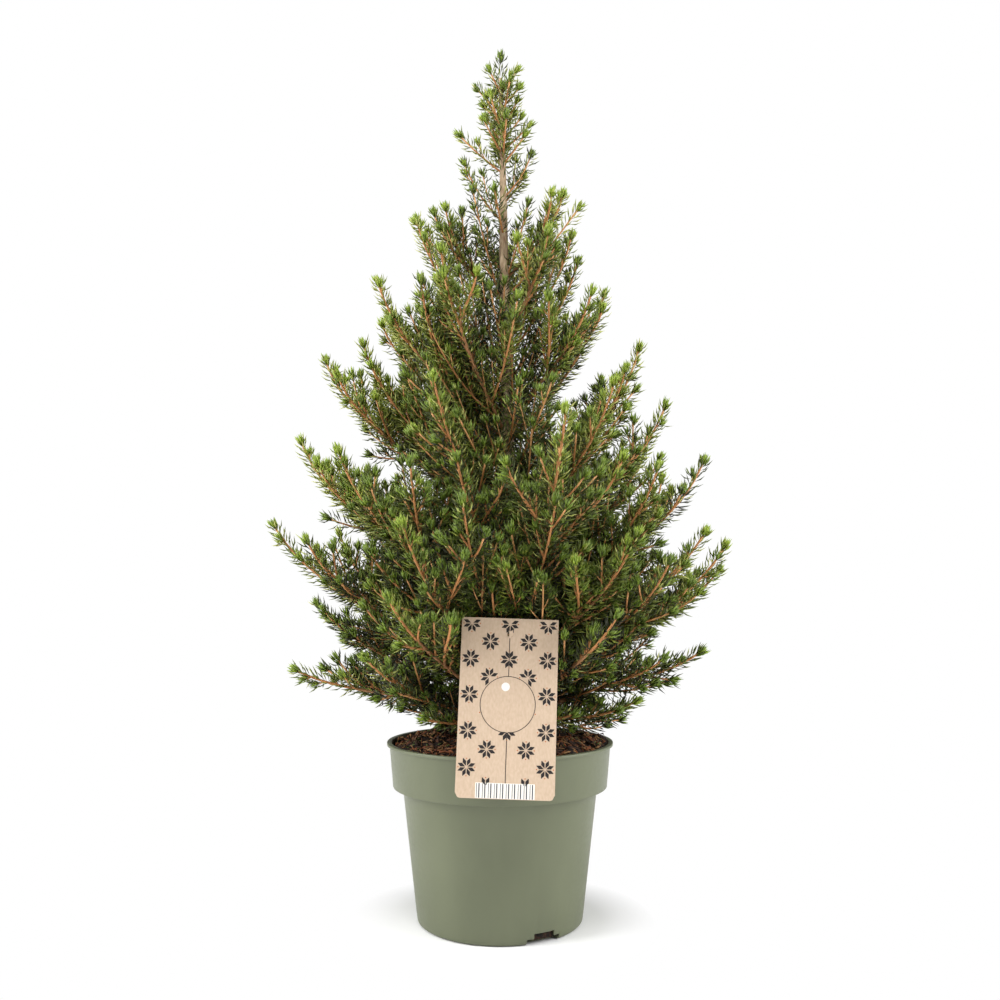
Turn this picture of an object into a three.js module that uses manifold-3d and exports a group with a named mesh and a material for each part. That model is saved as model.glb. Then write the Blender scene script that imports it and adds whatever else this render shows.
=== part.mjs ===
// A young spruce in a nursery pot: pot, soil, trunk, main boughs, masses of needles and a card tag.
// Millimetres, +Z up. The origin is the middle of the pot's flat underside, and the crown's front,
// where the tag hangs, looks along -Y. A turn is an angle round the pot's axis: 0 is +X, the right
// side, 90 is the back, 180 the left side and 270 the front.
import * as THREE from "three";
import { mergeVertices } from "three/addons/utils/BufferGeometryUtils.js";
import Module from "manifold-3d";

const wasm = await Module();
wasm.setup();

const GAP = 0.4; // left between neighbours that touch
const MASS_GAP = 1.4; // left between two masses of needles
const SMOOTHING = 0.4; // how far the facets of a mass may be evened out

// Pot
const POT_HEIGHT = 144;
const FOOT_RADIUS = 68.5;
const FOOT_BEVEL = 2;
const WALL_TOP_RADIUS = 81.6; // under the rim band
const BAND_FOOT_RADIUS = 89.6;
const BAND_TOP_RADIUS = 92.8;
const LIP_RADIUS = 95;
const BAND_HEIGHT = 36;
const LIP_HEIGHT = 2.4;
const POT_WALL = 1.6;
const POT_FLOOR = 2;
const POT_SIDES = 30;
const DRAIN_COUNT = 4;
const DRAIN_TURN = 30;
const DRAIN_WIDTH = 20;
const DRAIN_HEIGHT = 8;
const DRAIN_STEP = 5; // a lower step at each end of a drain
const DRAIN_DEPTH = 12;
const CLEAR_RADIUS = 96; // no needles grow inside this radius
const CLEAR_TOP = 150; // and below this height

// Soil
const SOIL_EDGE_HEIGHT = 137;
const SOIL_MOUND_HEIGHT = 145.5;
const MOUND_RADIUS = 18; // level ground round the trunk
const SOIL_RINGS = 3; // rings of uneven ground between the mound and the edge
const SOIL_UNEVENNESS = 2.2;
const SOIL_WAVES = [11, 14]; // lengths of its ripples from left to right and front to back
const SOIL_SHRINKAGE = 1; // how far dry soil stands off the wall

// Trunk
const TRUNK_FOOT = 146;
const TRUNK_TIP = 742;
const TRUNK_FOOT_RADIUS = 9.5;
const TRUNK_TIP_RADIUS = 1.3;
const TRUNK_TAPER = 0.88; // below 1 keeps the middle of the trunk stout
const TRUNK_SIDES = 7;
const TRUNK_STEPS = 10;
const TRUNK_CROWDING = 1.6; // above 1 puts more steps near the flare
const FLARE_RADIUS = 4.5; // what the root flare adds at the ground
const FLARE_HEIGHT = 9;
const TRUNK_BEND = 7; // how far the middle of the trunk stands to the right
const TRUNK_BEND_RISE = 0.6; // below 1 puts the bend below half way up
const TRUNK_SWAY = 2; // a smaller bend towards the back
const TREE_TOP = 752;

// Boughs and masses
const BOUGH_SIDES = 5;
const BOUGH_STEPS = 3;
const BOUGH_TIP_RADIUS = 1.9;
const BOUGH_TAPER = 0.007; // extra foot radius for each millimetre of length
const BARE_SHARE = 0.3; // the bare first part of a bough
const MASS_START = 0.26; // a mass begins a little before its bough ends
const TRUNK_MASS_START = 0.04;
const MASS_SPREAD = 10; // half width of a mass: a fixed part and a share of its length
const SPREAD_SHARE = 0.11;
const LOBE_SPREAD = 0.7; // half width of a side lobe against the mass's own
const FLATNESS = 0.7; // thickness of a mass against its width
const FOOT_FULLNESS = 1.15; // width of a mass at its foot against its half width
const TIP_NARROWING = 0.5; // how much of that is lost towards its tip
const UNEVENNESS = 0.16;
const ROUND_LUMPS = { count: 3, share: 0.6 }; // lumps round a mass
const LONG_LUMPS = { count: 9, share: 0.4 }; // and along it, in radians of its length
const MASS_GRID = [5, 4]; // facets round and along a mass, and then a side lobe
const LOBE_GRID = [4, 4];
const SIDE_SAG = 0.05;
const SIDE_SHOOTS = [
  { at: 0.32, swing: 44, length: 0.56, lift: 0.16 },
  { at: 0.48, swing: -38, length: 0.46, lift: -0.02 },
];

// name, height of its foot on the trunk, turn, reach from the pot's axis, height of its tip, sag
const BOUGHS = [
  ["right_lowest", 155, 346, 172, 223, -3],
  ["right_low", 178, 352, 192, 311, 14],
  ["front_right_low", 165, 306, 150, 255, 8],
  ["front_left_lowest", 168, 236, 150, 268, 8],
  ["left_front_lowest", 158, 195, 175, 208, -2],
  ["left_low", 180, 188, 193, 328, 4],
  ["left_back_low", 165, 160, 182, 262, 8],
  ["back_low", 182, 102, 182, 290, 12],
  ["back_right_low", 165, 56, 170, 245, 6],
  ["right_front", 195, 338, 178, 320, 10],
  ["front_right", 192, 312, 155, 316, 12],
  ["front_left", 190, 240, 146, 323, 14],
  ["left_front", 215, 207, 147, 386, 12],
  ["left", 240, 176, 178, 406, 14],
  ["back_left", 225, 128, 174, 380, 14],
  ["back_right", 240, 74, 172, 395, 14],
  ["right_back", 250, 30, 166, 420, 14],
  ["right", 230, 355, 176, 384, 12],
  ["front", 190, 290, 142, 407, 24],
  ["left_mid", 320, 172, 160, 480, 12],
  ["right_mid", 310, 2, 124, 488, 14],
];

// Lesser masses hide their thin boughs and sit straight on the trunk. The same columns.
const TRUNK_MASSES = [
  ["right_ground", 153, 8, 148, 168, -2],
  ["front_lowest", 195, 266, 96, 276, 6],
  ["front_mid", 280, 253, 115, 374, 8],
  ["back_mid", 330, 98, 130, 490, 12],
  ["left_back_up", 370, 148, 126, 537, 10],
  ["right_back_up", 380, 18, 102, 545, 10],
  ["front_up", 385, 238, 92, 548, 8],
  ["left_up", 392, 195, 110, 537, 8],
  ["right_front_up", 412, 328, 92, 522, 8],
  ["back_top", 468, 82, 72, 600, 6],
  ["front_right_top", 480, 312, 62, 575, 5],
  ["left_top", 512, 172, 62, 613, 5],
  ["right_top", 532, 2, 58, 627, 5],
];

// Short shoots round the leader, which are lobes of its mass. The same columns.
const LEADER_FOOT = 596;
const LEADER_SPREAD = 10;
const LEADER_NARROWING = 0.3; // of its width, from its foot to its tip
const LEADER_GRID = [5, 6];
const SHOOT_SPREAD = 8;
const LEADER_SHOOTS = [
  ["left", 592, 180, 36, 655, 2],
  ["right", 602, 10, 32, 665, 2],
  ["front", 632, 285, 24, 690, 1],
  ["back", 628, 100, 28, 688, 1],
  ["high_left", 676, 195, 17, 716, 0],
  ["high_right", 672, 350, 19, 712, 0],
];

// Tag
const TAG_WIDTH = 74;
const TAG_LENGTH = 135;
const TAG_THICKNESS = 0.6;
const TAG_CORNER = 4;
const TAG_FOOT = new THREE.Vector3(3.4, -99.4, 115); // middle of its lower edge
const TAG_LEAN = 6.5;
const TAG_ROLL = -2;
const STRAP_WIDTH = 4;
const STRAP_THICKNESS = 0.6;
const STRAP_RADIUS = 5; // of the loop's round ends
const STRAP_FOOT = 247.5;
const STRAP_FRONT = new THREE.Vector2(9, -84);
const STRAP_BACK = new THREE.Vector2(20.5, -56);

const POT_MATERIAL = new THREE.MeshStandardMaterial({ color: "#8a8f76", roughness: 0.6 });
const SOIL_MATERIAL = new THREE.MeshStandardMaterial({ color: "#3a2c18", roughness: 0.95 });
const BARK_MATERIAL = new THREE.MeshStandardMaterial({ color: "#9a7550", roughness: 0.85 });
const NEEDLE_MATERIAL = new THREE.MeshStandardMaterial({ color: "#4a6b35", roughness: 0.7 });
const CARD_MATERIAL = new THREE.MeshStandardMaterial({ color: "#e8c9a4", roughness: 0.8 });

const UP = new THREE.Vector3(0, 0, 1);
const part = new THREE.Group();

// ---- solids ----

// A three.js geometry becomes a solid once only its positions are left and shared points are one.
function toSolid(geometry) {
  geometry.deleteAttribute("normal");
  geometry.deleteAttribute("uv");
  const merged = mergeVertices(geometry, 1e-4);
  const corners = merged.index.array;
  const kept = [];
  for (let i = 0; i < corners.length; i += 3) {
    const [a, b, c] = [corners[i], corners[i + 1], corners[i + 2]];
    if (a !== b && b !== c && c !== a) kept.push(a, b, c);
  }
  const vertProperties = merged.attributes.position.array;
  const triVerts = new Uint32Array(kept);
  return new wasm.Manifold(new wasm.Mesh({ numProp: 3, vertProperties, triVerts }));
}

// The largest separate piece, so that no crumb stays behind a cut.
function largest(solid) {
  const pieces = solid.decompose();
  return pieces.reduce((best, piece) => (piece.volume() > best.volume() ? piece : best));
}

function addPart(name, solid, material) {
  const { numProp, vertProperties, triVerts } = solid.getMesh();
  const geometry = new THREE.BufferGeometry();
  const positions = new THREE.BufferAttribute(new Float32Array(vertProperties), numProp);
  geometry.setAttribute("position", positions);
  geometry.setIndex(new THREE.BufferAttribute(new Uint32Array(triVerts), 1));
  geometry.computeVertexNormals();
  const mesh = new THREE.Mesh(geometry, material);
  mesh.name = name;
  part.add(mesh);
  return mesh;
}

// Wraps a round shape, whose own axis is its Y from -1 to 1, along a stretch of a path. across is
// the level direction beside the path, and size(along, angle) gives the half width and thickness.
function wrap(geometry, path, from, to, across, size) {
  const points = geometry.attributes.position;
  for (let i = 0; i < points.count; i += 1) {
    const [x, y, z] = [points.getX(i), points.getY(i), points.getZ(i)];
    const along = (y + 1) / 2;
    const t = from + (to - from) * along;
    const upward = new THREE.Vector3().crossVectors(across, path.getTangent(t)).normalize();
    const [wide, thick] = size(along, Math.atan2(z, x));
    const point = path.getPoint(t);
    point.addScaledVector(across, x * wide);
    point.addScaledVector(upward, z * thick);
    points.setXYZ(i, point.x, point.y, point.z);
  }
  return toSolid(geometry);
}

function outward(turn) {
  const angle = THREE.MathUtils.degToRad(turn);
  return new THREE.Vector3(Math.cos(angle), Math.sin(angle), 0);
}

// ---- pot and soil ----

function latheSolid(profile) {
  const points = profile.map(([radius, height]) => new THREE.Vector2(radius, height));
  return toSolid(new THREE.LatheGeometry(points, POT_SIDES).rotateX(Math.PI / 2));
}

function makePot() {
  const bandFoot = POT_HEIGHT - BAND_HEIGHT;
  const lipFoot = POT_HEIGHT - LIP_HEIGHT;
  const shell = latheSolid([
    [0, 0],
    [FOOT_RADIUS - FOOT_BEVEL, 0],
    [FOOT_RADIUS, FOOT_BEVEL],
    [WALL_TOP_RADIUS, bandFoot],
    [BAND_FOOT_RADIUS, bandFoot],
    [BAND_TOP_RADIUS, lipFoot],
    [LIP_RADIUS, lipFoot],
    [LIP_RADIUS, POT_HEIGHT],
    [BAND_TOP_RADIUS - POT_WALL, POT_HEIGHT],
    [BAND_FOOT_RADIUS - POT_WALL, bandFoot + POT_WALL],
    [WALL_TOP_RADIUS - POT_WALL, bandFoot + POT_WALL],
    [FOOT_RADIUS - POT_WALL, POT_FLOOR],
    [0, POT_FLOOR],
  ]);
  return drains().reduce((pot, drain) => pot.subtract(drain), shell);
}

// A drain is a stepped notch through the foot of the wall and the edge of the floor.
function drains() {
  const cuts = [];
  for (let i = 0; i < DRAIN_COUNT; i += 1) {
    const turn = THREE.MathUtils.degToRad(DRAIN_TURN + (i * 360) / DRAIN_COUNT);
    const sizes = [
      [DRAIN_WIDTH, DRAIN_HEIGHT],
      [DRAIN_WIDTH + 2 * DRAIN_STEP, DRAIN_HEIGHT / 2],
    ];
    for (const [width, height] of sizes) {
      const box = new THREE.BoxGeometry(DRAIN_DEPTH, width, 2 * height);
      box.translate(FOOT_RADIUS, 0, 0);
      cuts.push(toSolid(box.rotateZ(turn)));
    }
  }
  return cuts;
}

function makeSoil() {
  const bandFoot = POT_HEIGHT - BAND_HEIGHT + POT_WALL;
  const inside = POT_WALL + GAP;
  const edge = BAND_TOP_RADIUS - inside - SOIL_SHRINKAGE;
  const profile = [
    [0, POT_FLOOR + GAP],
    [FOOT_RADIUS - inside, POT_FLOOR + GAP],
    [WALL_TOP_RADIUS - inside, bandFoot + GAP],
    [BAND_FOOT_RADIUS - inside, bandFoot + GAP],
    [edge, SOIL_EDGE_HEIGHT],
  ];
  for (let ring = 1; ring <= SOIL_RINGS; ring += 1) {
    const share = ring / (SOIL_RINGS + 1);
    const rise = (SOIL_MOUND_HEIGHT - SOIL_EDGE_HEIGHT) * share * share;
    profile.push([THREE.MathUtils.lerp(edge, MOUND_RADIUS, share), SOIL_EDGE_HEIGHT + rise]);
  }
  profile.push([MOUND_RADIUS, SOIL_MOUND_HEIGHT], [0, SOIL_MOUND_HEIGHT]);
  const points = profile.map(([radius, height]) => new THREE.Vector2(radius, height));
  const geometry = new THREE.LatheGeometry(points, POT_SIDES / 2).rotateX(Math.PI / 2);
  const position = geometry.attributes.position;
  for (let i = 0; i < position.count; i += 1) {
    const [x, y, z] = [position.getX(i), position.getY(i), position.getZ(i)];
    const radius = Math.hypot(x, y);
    const onRing = z > SOIL_EDGE_HEIGHT + 0.1 && radius > MOUND_RADIUS + 1;
    const ripple = Math.sin(x / SOIL_WAVES[0] + 1) * Math.cos(y / SOIL_WAVES[1]);
    if (onRing) position.setZ(i, z + ripple * SOIL_UNEVENNESS);
  }
  return toSolid(geometry);
}

// ---- trunk ----

// The trunk's axis stands a little to the right half way up, and comes back over the pot.
class TrunkAxis extends THREE.Curve {
  getPoint(share) {
    const x = TRUNK_BEND * Math.sin(Math.PI * share ** TRUNK_BEND_RISE);
    const y = TRUNK_SWAY * Math.sin(2 * Math.PI * share);
    return new THREE.Vector3(x, y, THREE.MathUtils.lerp(TRUNK_FOOT, TRUNK_TIP, share));
  }
}

const trunkAxis = new TrunkAxis();

function trunkPoint(height) {
  return trunkAxis.getPoint((height - TRUNK_FOOT) / (TRUNK_TIP - TRUNK_FOOT));
}

function makeTrunk(gap) {
  const size = (along) => {
    const flare = FLARE_RADIUS * Math.exp((-along * (TRUNK_TIP - TRUNK_FOOT)) / FLARE_HEIGHT);
    const stoutness = (1 - along) ** TRUNK_TAPER;
    const radius = THREE.MathUtils.lerp(TRUNK_TIP_RADIUS, TRUNK_FOOT_RADIUS, stoutness);
    return [radius + flare + gap, radius + flare + gap];
  };
  const rod = new THREE.CylinderGeometry(1, 1, 2, TRUNK_SIDES, TRUNK_STEPS);
  const points = rod.attributes.position;
  for (let i = 0; i < points.count; i += 1) {
    const along = (points.getY(i) + 1) / 2;
    points.setY(i, 2 * along ** TRUNK_CROWDING - 1);
  }
  return wrap(rod, trunkAxis, 0, 1, new THREE.Vector3(1, 0, 0), size);
}

// ---- boughs and masses ----

// A shoot leaves the trunk, sags under its own weight and turns up towards its tip.
function shootPath([, foot, turn, reach, top, sag]) {
  const start = trunkPoint(foot);
  const tip = outward(turn).multiplyScalar(reach).setZ(top);
  const middle = start.clone().lerp(tip, 0.5);
  middle.z -= 2 * sag;
  return new THREE.QuadraticBezierCurve3(start, middle, tip);
}

function acrossOf(path) {
  const heading = path.getPoint(1).sub(path.getPoint(0)).setZ(0).normalize();
  return new THREE.Vector3().crossVectors(heading, UP);
}

function makeBough(row, gap) {
  const path = shootPath(row);
  const footRadius = BOUGH_TIP_RADIUS + BOUGH_TAPER * path.getLength();
  const size = (along) => {
    const radius = THREE.MathUtils.lerp(footRadius, BOUGH_TIP_RADIUS, along) + gap;
    return [radius, radius];
  };
  const rod = new THREE.CylinderGeometry(1, 1, 2, BOUGH_SIDES, BOUGH_STEPS);
  const end = BARE_SHARE + gap / path.getLength();
  return wrap(rod, path, 0, end, acrossOf(path), size);
}

// One uneven spindle of needles: widest near its foot, and pointed at the shoot's tip.
function spindle(path, from, spread, seed, gap, [around, rings]) {
  const size = (along, angle) => {
    const fullness = FOOT_FULLNESS - TIP_NARROWING * along;
    const round = ROUND_LUMPS.share * Math.sin(ROUND_LUMPS.count * angle + seed);
    const long = LONG_LUMPS.share * Math.sin(LONG_LUMPS.count * along + 2 * seed + angle);
    const wide = spread * fullness * (1 + UNEVENNESS * (round + long));
    return [wide + gap, wide * FLATNESS + gap];
  };
  const spare = gap / path.getLength();
  const ball = new THREE.SphereGeometry(1, around, rings);
  return wrap(ball, path, from - spare, 1 + spare, acrossOf(path), size);
}

// A side shoot swings away from its own shoot and lifts or droops a little.
function sidePath(path, { at, swing, length, lift }, flip) {
  const start = path.getPoint(at);
  const heading = path.getTangent(at).applyAxisAngle(UP, THREE.MathUtils.degToRad(swing * flip));
  const reach = length * path.getLength();
  const tip = start.clone().addScaledVector(heading, reach);
  tip.z += lift * reach;
  const middle = start.clone().lerp(tip, 0.5);
  middle.z -= SIDE_SAG * reach;
  return new THREE.QuadraticBezierCurve3(start, middle, tip);
}

// A mass is the needles of one shoot and of its side shoots.
function makeMass(row, index, start, gap) {
  const path = shootPath(row);
  const length = path.getLength();
  const spread = MASS_SPREAD + SPREAD_SHARE * length * (1 - start);
  const flip = index % 2 === 0 ? 1 : -1;
  let mass = spindle(path, start, spread, index, gap, MASS_GRID);
  for (const side of SIDE_SHOOTS) {
    const branch = sidePath(path, side, flip);
    const lobe = spindle(branch, 0, spread * LOBE_SPREAD, index + side.swing, gap, LOBE_GRID);
    mass = mass.add(lobe);
  }
  return mass;
}

function makeLeader(gap) {
  const start = trunkPoint(LEADER_FOOT);
  const path = new THREE.LineCurve3(start, new THREE.Vector3(0, 0, TREE_TOP));
  const size = (along, angle) => {
    const uneven = 1 + UNEVENNESS * Math.sin(ROUND_LUMPS.count * angle);
    const wide = LEADER_SPREAD * (1 - LEADER_NARROWING * along) * uneven;
    return [wide + gap, wide + gap];
  };
  const ball = new THREE.SphereGeometry(1, ...LEADER_GRID);
  const spare = gap / path.getLength();
  const core = wrap(ball, path, -spare, 1 + spare, new THREE.Vector3(1, 0, 0), size);
  const lobes = LEADER_SHOOTS.map((row, i) => {
    return spindle(shootPath(row), 0, SHOOT_SPREAD, i, gap, LOBE_GRID);
  });
  return lobes.reduce((mass, lobe) => mass.add(lobe), core);
}

// ---- tag ----

function makeTag(gap) {
  const [half, length] = [TAG_WIDTH / 2 + gap, TAG_LENGTH + gap];
  const outline = new THREE.Shape();
  outline.moveTo(half, length);
  outline.lineTo(-half, length);
  outline.lineTo(-half, TAG_CORNER - gap);
  outline.absarc(TAG_CORNER - half, TAG_CORNER - gap, TAG_CORNER, Math.PI, 1.5 * Math.PI);
  outline.absarc(half - TAG_CORNER, TAG_CORNER - gap, TAG_CORNER, 1.5 * Math.PI, 2 * Math.PI);
  const depth = TAG_THICKNESS + 2 * gap;
  const card = new THREE.ExtrudeGeometry(outline, { depth, bevelEnabled: false, curveSegments: 2 });
  card.translate(0, 0, -depth / 2);
  card.rotateZ(THREE.MathUtils.degToRad(TAG_ROLL));
  card.rotateX(THREE.MathUtils.degToRad(90 - TAG_LEAN));
  card.translate(TAG_FOOT.x, TAG_FOOT.y, TAG_FOOT.z);
  return toSolid(card).add(makeStrap(gap));
}

// The loop that ties the card to the front bough: a flat band, round at both ends.
function makeStrap(gap) {
  const axis = STRAP_BACK.clone().sub(STRAP_FRONT);
  const turn = axis.angle();
  const ring = new THREE.Shape();
  const hole = new THREE.Path();
  const bands = [[ring, STRAP_RADIUS + gap], [hole, STRAP_RADIUS - STRAP_THICKNESS - gap]];
  for (const [loop, radius] of bands) {
    const quarter = Math.PI / 2;
    loop.absarc(STRAP_BACK.x, STRAP_BACK.y, radius, turn - quarter, turn + quarter);
    loop.absarc(STRAP_FRONT.x, STRAP_FRONT.y, radius, turn + quarter, turn + 3 * quarter);
    loop.closePath();
  }
  ring.holes.push(hole);
  const depth = STRAP_WIDTH + 2 * gap;
  const band = new THREE.ExtrudeGeometry(ring, { depth, bevelEnabled: false, curveSegments: 3 });
  return toSolid(band.translate(0, 0, STRAP_FOOT - gap));
}

// ---- assembly ----

addPart("pot", makePot(), POT_MATERIAL);
addPart("soil", makeSoil(), SOIL_MATERIAL);
addPart("trunk", makeTrunk(0), BARK_MATERIAL);
addPart("tag", makeTag(0), CARD_MATERIAL);

// Each bough is cut round the trunk and the boughs below it.
const limbs = [makeTrunk(GAP)];
for (const row of BOUGHS) {
  const cut = limbs.reduce((bough, other) => bough.subtract(other), makeBough(row, 0));
  addPart(`bough_${row[0]}`, largest(cut), BARK_MATERIAL);
  limbs.push(makeBough(row, GAP));
}

// Each mass is cut round everything else and the masses made before it.
const potClear = latheSolid([[0, 0], [CLEAR_RADIUS, 0], [CLEAR_RADIUS, CLEAR_TOP], [0, CLEAR_TOP]]);
const boughsClear = BOUGHS.map((row) => makeBough(row, MASS_GAP));
const taken = [makeTrunk(MASS_GAP), makeTag(MASS_GAP), potClear, ...boughsClear];

function addMass(name, solid, clear) {
  const smooth = solid.simplify(SMOOTHING);
  const cut = taken.reduce((mass, other) => mass.subtract(other), smooth);
  addPart(`needles_${name}`, largest(cut.simplify(SMOOTHING)), NEEDLE_MATERIAL);
  taken.push(clear);
}

addMass("leader", makeLeader(0), makeLeader(MASS_GAP));
const rows = [...BOUGHS, ...TRUNK_MASSES];
rows.forEach((row, index) => {
  const start = index < BOUGHS.length ? MASS_START : TRUNK_MASS_START;
  addMass(row[0], makeMass(row, index, start, 0), makeMass(row, index, start, MASS_GAP));
});

export default part;
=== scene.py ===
# %% [markdown]
# # A young spruce in its pot
#
# The object is a small patio conifer: a straight stem, upswept boughs, and shoots clothed all round
# in short needles, with a brush of fresh green at every tip. It stands in a moulded nursery pot full
# of potting mix, and a card label hangs on one of its front boughs.
#
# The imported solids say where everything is. Each limb of the solid model becomes bark with real
# relief, and each mass of needles becomes shoots that grow on from its limb by a seeded rule, so
# the crown keeps its outline and its gaps and yet is made of thousands of separate needles.

# %% The frame and the tools
import math
from dataclasses import dataclass

import bmesh
import bpy
import numpy as np
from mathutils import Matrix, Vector, noise
from mathutils.bvhtree import BVHTree


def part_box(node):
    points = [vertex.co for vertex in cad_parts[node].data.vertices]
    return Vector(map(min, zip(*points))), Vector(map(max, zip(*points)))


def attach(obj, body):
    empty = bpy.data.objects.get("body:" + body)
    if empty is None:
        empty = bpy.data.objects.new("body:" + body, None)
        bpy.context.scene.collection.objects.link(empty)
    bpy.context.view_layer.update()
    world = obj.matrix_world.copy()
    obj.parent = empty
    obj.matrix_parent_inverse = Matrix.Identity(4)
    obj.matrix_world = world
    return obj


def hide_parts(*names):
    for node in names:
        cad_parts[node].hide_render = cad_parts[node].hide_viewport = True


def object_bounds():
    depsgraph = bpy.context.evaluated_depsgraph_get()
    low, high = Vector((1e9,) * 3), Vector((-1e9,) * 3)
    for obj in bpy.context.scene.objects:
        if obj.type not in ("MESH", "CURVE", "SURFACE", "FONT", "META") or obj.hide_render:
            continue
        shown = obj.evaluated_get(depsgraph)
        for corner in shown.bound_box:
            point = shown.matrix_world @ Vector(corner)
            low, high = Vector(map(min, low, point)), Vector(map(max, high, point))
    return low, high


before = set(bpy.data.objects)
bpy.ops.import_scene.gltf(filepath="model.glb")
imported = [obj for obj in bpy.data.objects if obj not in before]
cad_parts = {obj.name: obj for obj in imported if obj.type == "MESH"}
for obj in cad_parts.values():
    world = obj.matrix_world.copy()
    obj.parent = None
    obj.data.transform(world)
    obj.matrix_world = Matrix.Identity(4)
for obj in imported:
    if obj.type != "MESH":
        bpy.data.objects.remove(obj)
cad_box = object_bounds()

MM = 0.001
UP = np.array((0.0, 0.0, 1.0))
SEED = 7
node_names = sorted(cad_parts)
bough_names = [name for name in node_names if name.startswith("bough_")]
mass_names = [name for name in node_names if name.startswith("needles_")]
print(f"{len(bough_names)} boughs, {len(mass_names)} masses, crown {cad_box[1][2]:.3f} m tall")

# %% [markdown]
# ## Colours and nodes
#
# Colours are written as the hex values a maker would match by eye, and one function turns them to
# the linear numbers that the renderer works in. One more function adds a node with its settings and
# its links, which keeps every material short enough to read.


# %% Helpers for materials
def linear(hex_colour):
    """An sRGB hex colour as linear red, green, blue and alpha."""
    parts = [int(hex_colour[i:i + 2], 16) / 255 for i in (1, 3, 5)]
    return [c / 12.92 if c <= 0.04045 else ((c + 0.055) / 1.055) ** 2.4 for c in parts] + [1.0]


def plain_material(name, hex_colour, roughness, ior=1.45):
    """A material of one base colour. Its shader is returned with it, for more to be linked in."""
    material = bpy.data.materials.new(name)
    material.use_nodes = True
    shader = material.node_tree.nodes["Principled BSDF"]
    shader.inputs["Base Color"].default_value = linear(hex_colour)
    shader.inputs["Roughness"].default_value = roughness
    shader.inputs["IOR"].default_value = ior
    return material, shader


def plain_finishes(*rows):
    """Materials of one colour each, from rows of name, hex colour and roughness."""
    return [plain_material(*row)[0] for row in rows]


def add_node(owner, kind, settings=None, links=None):
    """Adds a node. Settings are attributes or inputs by name, and links feed inputs from sockets."""
    made = owner.node_tree.nodes.new(kind)
    for name, value in (settings or {}).items():
        if hasattr(made, name):
            setattr(made, name, value)
        else:
            made.inputs[name].default_value = value
    for name, socket in (links or {}).items():
        owner.node_tree.links.new(socket, made.inputs[name])
    return made


def object_noise(material, scale, detail=4.0, stretch=(1, 1, 1)):
    """A noise on Object coordinates, with scale in features for each metre."""
    place = add_node(material, "ShaderNodeTexCoord")
    mapping = add_node(material, "ShaderNodeMapping", {"Scale": stretch},
                       {"Vector": place.outputs["Object"]})
    return add_node(material, "ShaderNodeTexNoise", {"Scale": scale, "Detail": detail},
                    {"Vector": mapping.outputs["Vector"]})


def two_colours(material, shader, noise_node, low, high, span=(0.35, 0.65)):
    """Feeds the base colour from a ramp between two hex colours."""
    ramp = add_node(material, "ShaderNodeValToRGB", links={"Fac": noise_node.outputs["Fac"]})
    ends = ramp.color_ramp.elements
    ends[0].position, ends[1].position = span
    ends[0].color, ends[1].color = linear(low), linear(high)
    material.node_tree.links.new(ramp.outputs["Color"], shader.inputs["Base Color"])


def bump(material, shader, height_socket, depth, strength=1.0):
    """Links a height into the shader's normal. depth is in metres."""
    made = add_node(material, "ShaderNodeBump", {"Distance": depth, "Strength": strength},
                    {"Height": height_socket})
    material.node_tree.links.new(made.outputs["Normal"], shader.inputs["Normal"])


def add_piece(name, mesh, slot, replaced, *materials):
    """Puts a finished mesh in the scene as a piece that rides on the one body."""
    for material in materials:
        mesh.materials.append(material)
    piece = bpy.data.objects.new(name, mesh)
    bpy.context.scene.collection.objects.link(piece)
    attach(piece, "root")
    if replaced:
        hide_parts(*replaced)


def finish_mesh(name, bm, sharp_degrees=40):
    """A bmesh as a mesh, smooth except where its faces meet at a sharp angle."""
    mesh = bpy.data.meshes.new(name)
    bm.to_mesh(mesh)
    bm.free()
    mesh.shade_smooth()
    mesh.set_sharp_from_angle(angle=math.radians(sharp_degrees))
    return mesh


# %% [markdown]
# ## Camera, light and floor
#
# The plant is seen from a third of the way up, looking a little upwards through a normal lens. It
# stands on a white sweep. The backdrop is pure white to the camera, but gives only a soft fill, so
# the needles keep dark spaces between them. Two large panels at the sides brighten the pot's edges,
# and one above and in front gives the needles and the card their light.

# %% Camera
CAMERA_PLACE = (0.0, -0.830, 0.265)
CAMERA_TILT = 5.65  # degrees above level
LENS = 34.8

camera_data = bpy.data.cameras.new("camera")
camera_data.lens = LENS
camera_data.sensor_width = 36.0
camera_data.dof.use_dof = False
camera = bpy.data.objects.new("camera", camera_data)
camera.location = CAMERA_PLACE
camera.rotation_euler = (math.radians(90 + CAMERA_TILT), 0, 0)
bpy.context.scene.collection.objects.link(camera)
bpy.context.scene.camera = camera
bpy.context.scene.view_settings.view_transform = "Standard"

# %% Light
FILL = 0.3

world = bpy.data.worlds.new("white_sweep")
world.use_nodes = True
backdrop = world.node_tree.nodes["Background"]
backdrop.inputs["Color"].default_value = (1, 1, 1, 1)
ray = add_node(world, "ShaderNodeLightPath")
seen = add_node(world, "ShaderNodeMapRange", {"To Min": FILL, "To Max": 1.0},
                {"Value": ray.outputs["Is Camera Ray"]})
world.node_tree.links.new(seen.outputs["Result"], backdrop.inputs["Strength"])
bpy.context.scene.world = world


def panel_light(name, place, size, watts):
    """A square soft light that faces the middle of the crown."""
    data = bpy.data.lights.new(name, "AREA")
    data.size = size
    data.energy = watts
    light = bpy.data.objects.new(name, data)
    light.location = place
    aim = Vector((0, 0, 0.35)) - Vector(place)
    light.rotation_euler = aim.to_track_quat("-Z", "Y").to_euler()
    bpy.context.scene.collection.objects.link(light)


panel_light("light_left", (-1.25, -0.35, 0.75), 0.9, 24)
panel_light("light_right", (1.25, -0.3, 0.7), 0.9, 21)
panel_light("light_front", (-0.2, -0.65, 2.05), 0.8, 26)

# %% Floor
FLOOR_LIT = (0.083, 0.128)  # metres from the pot over which the sheet turns to backdrop

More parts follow.
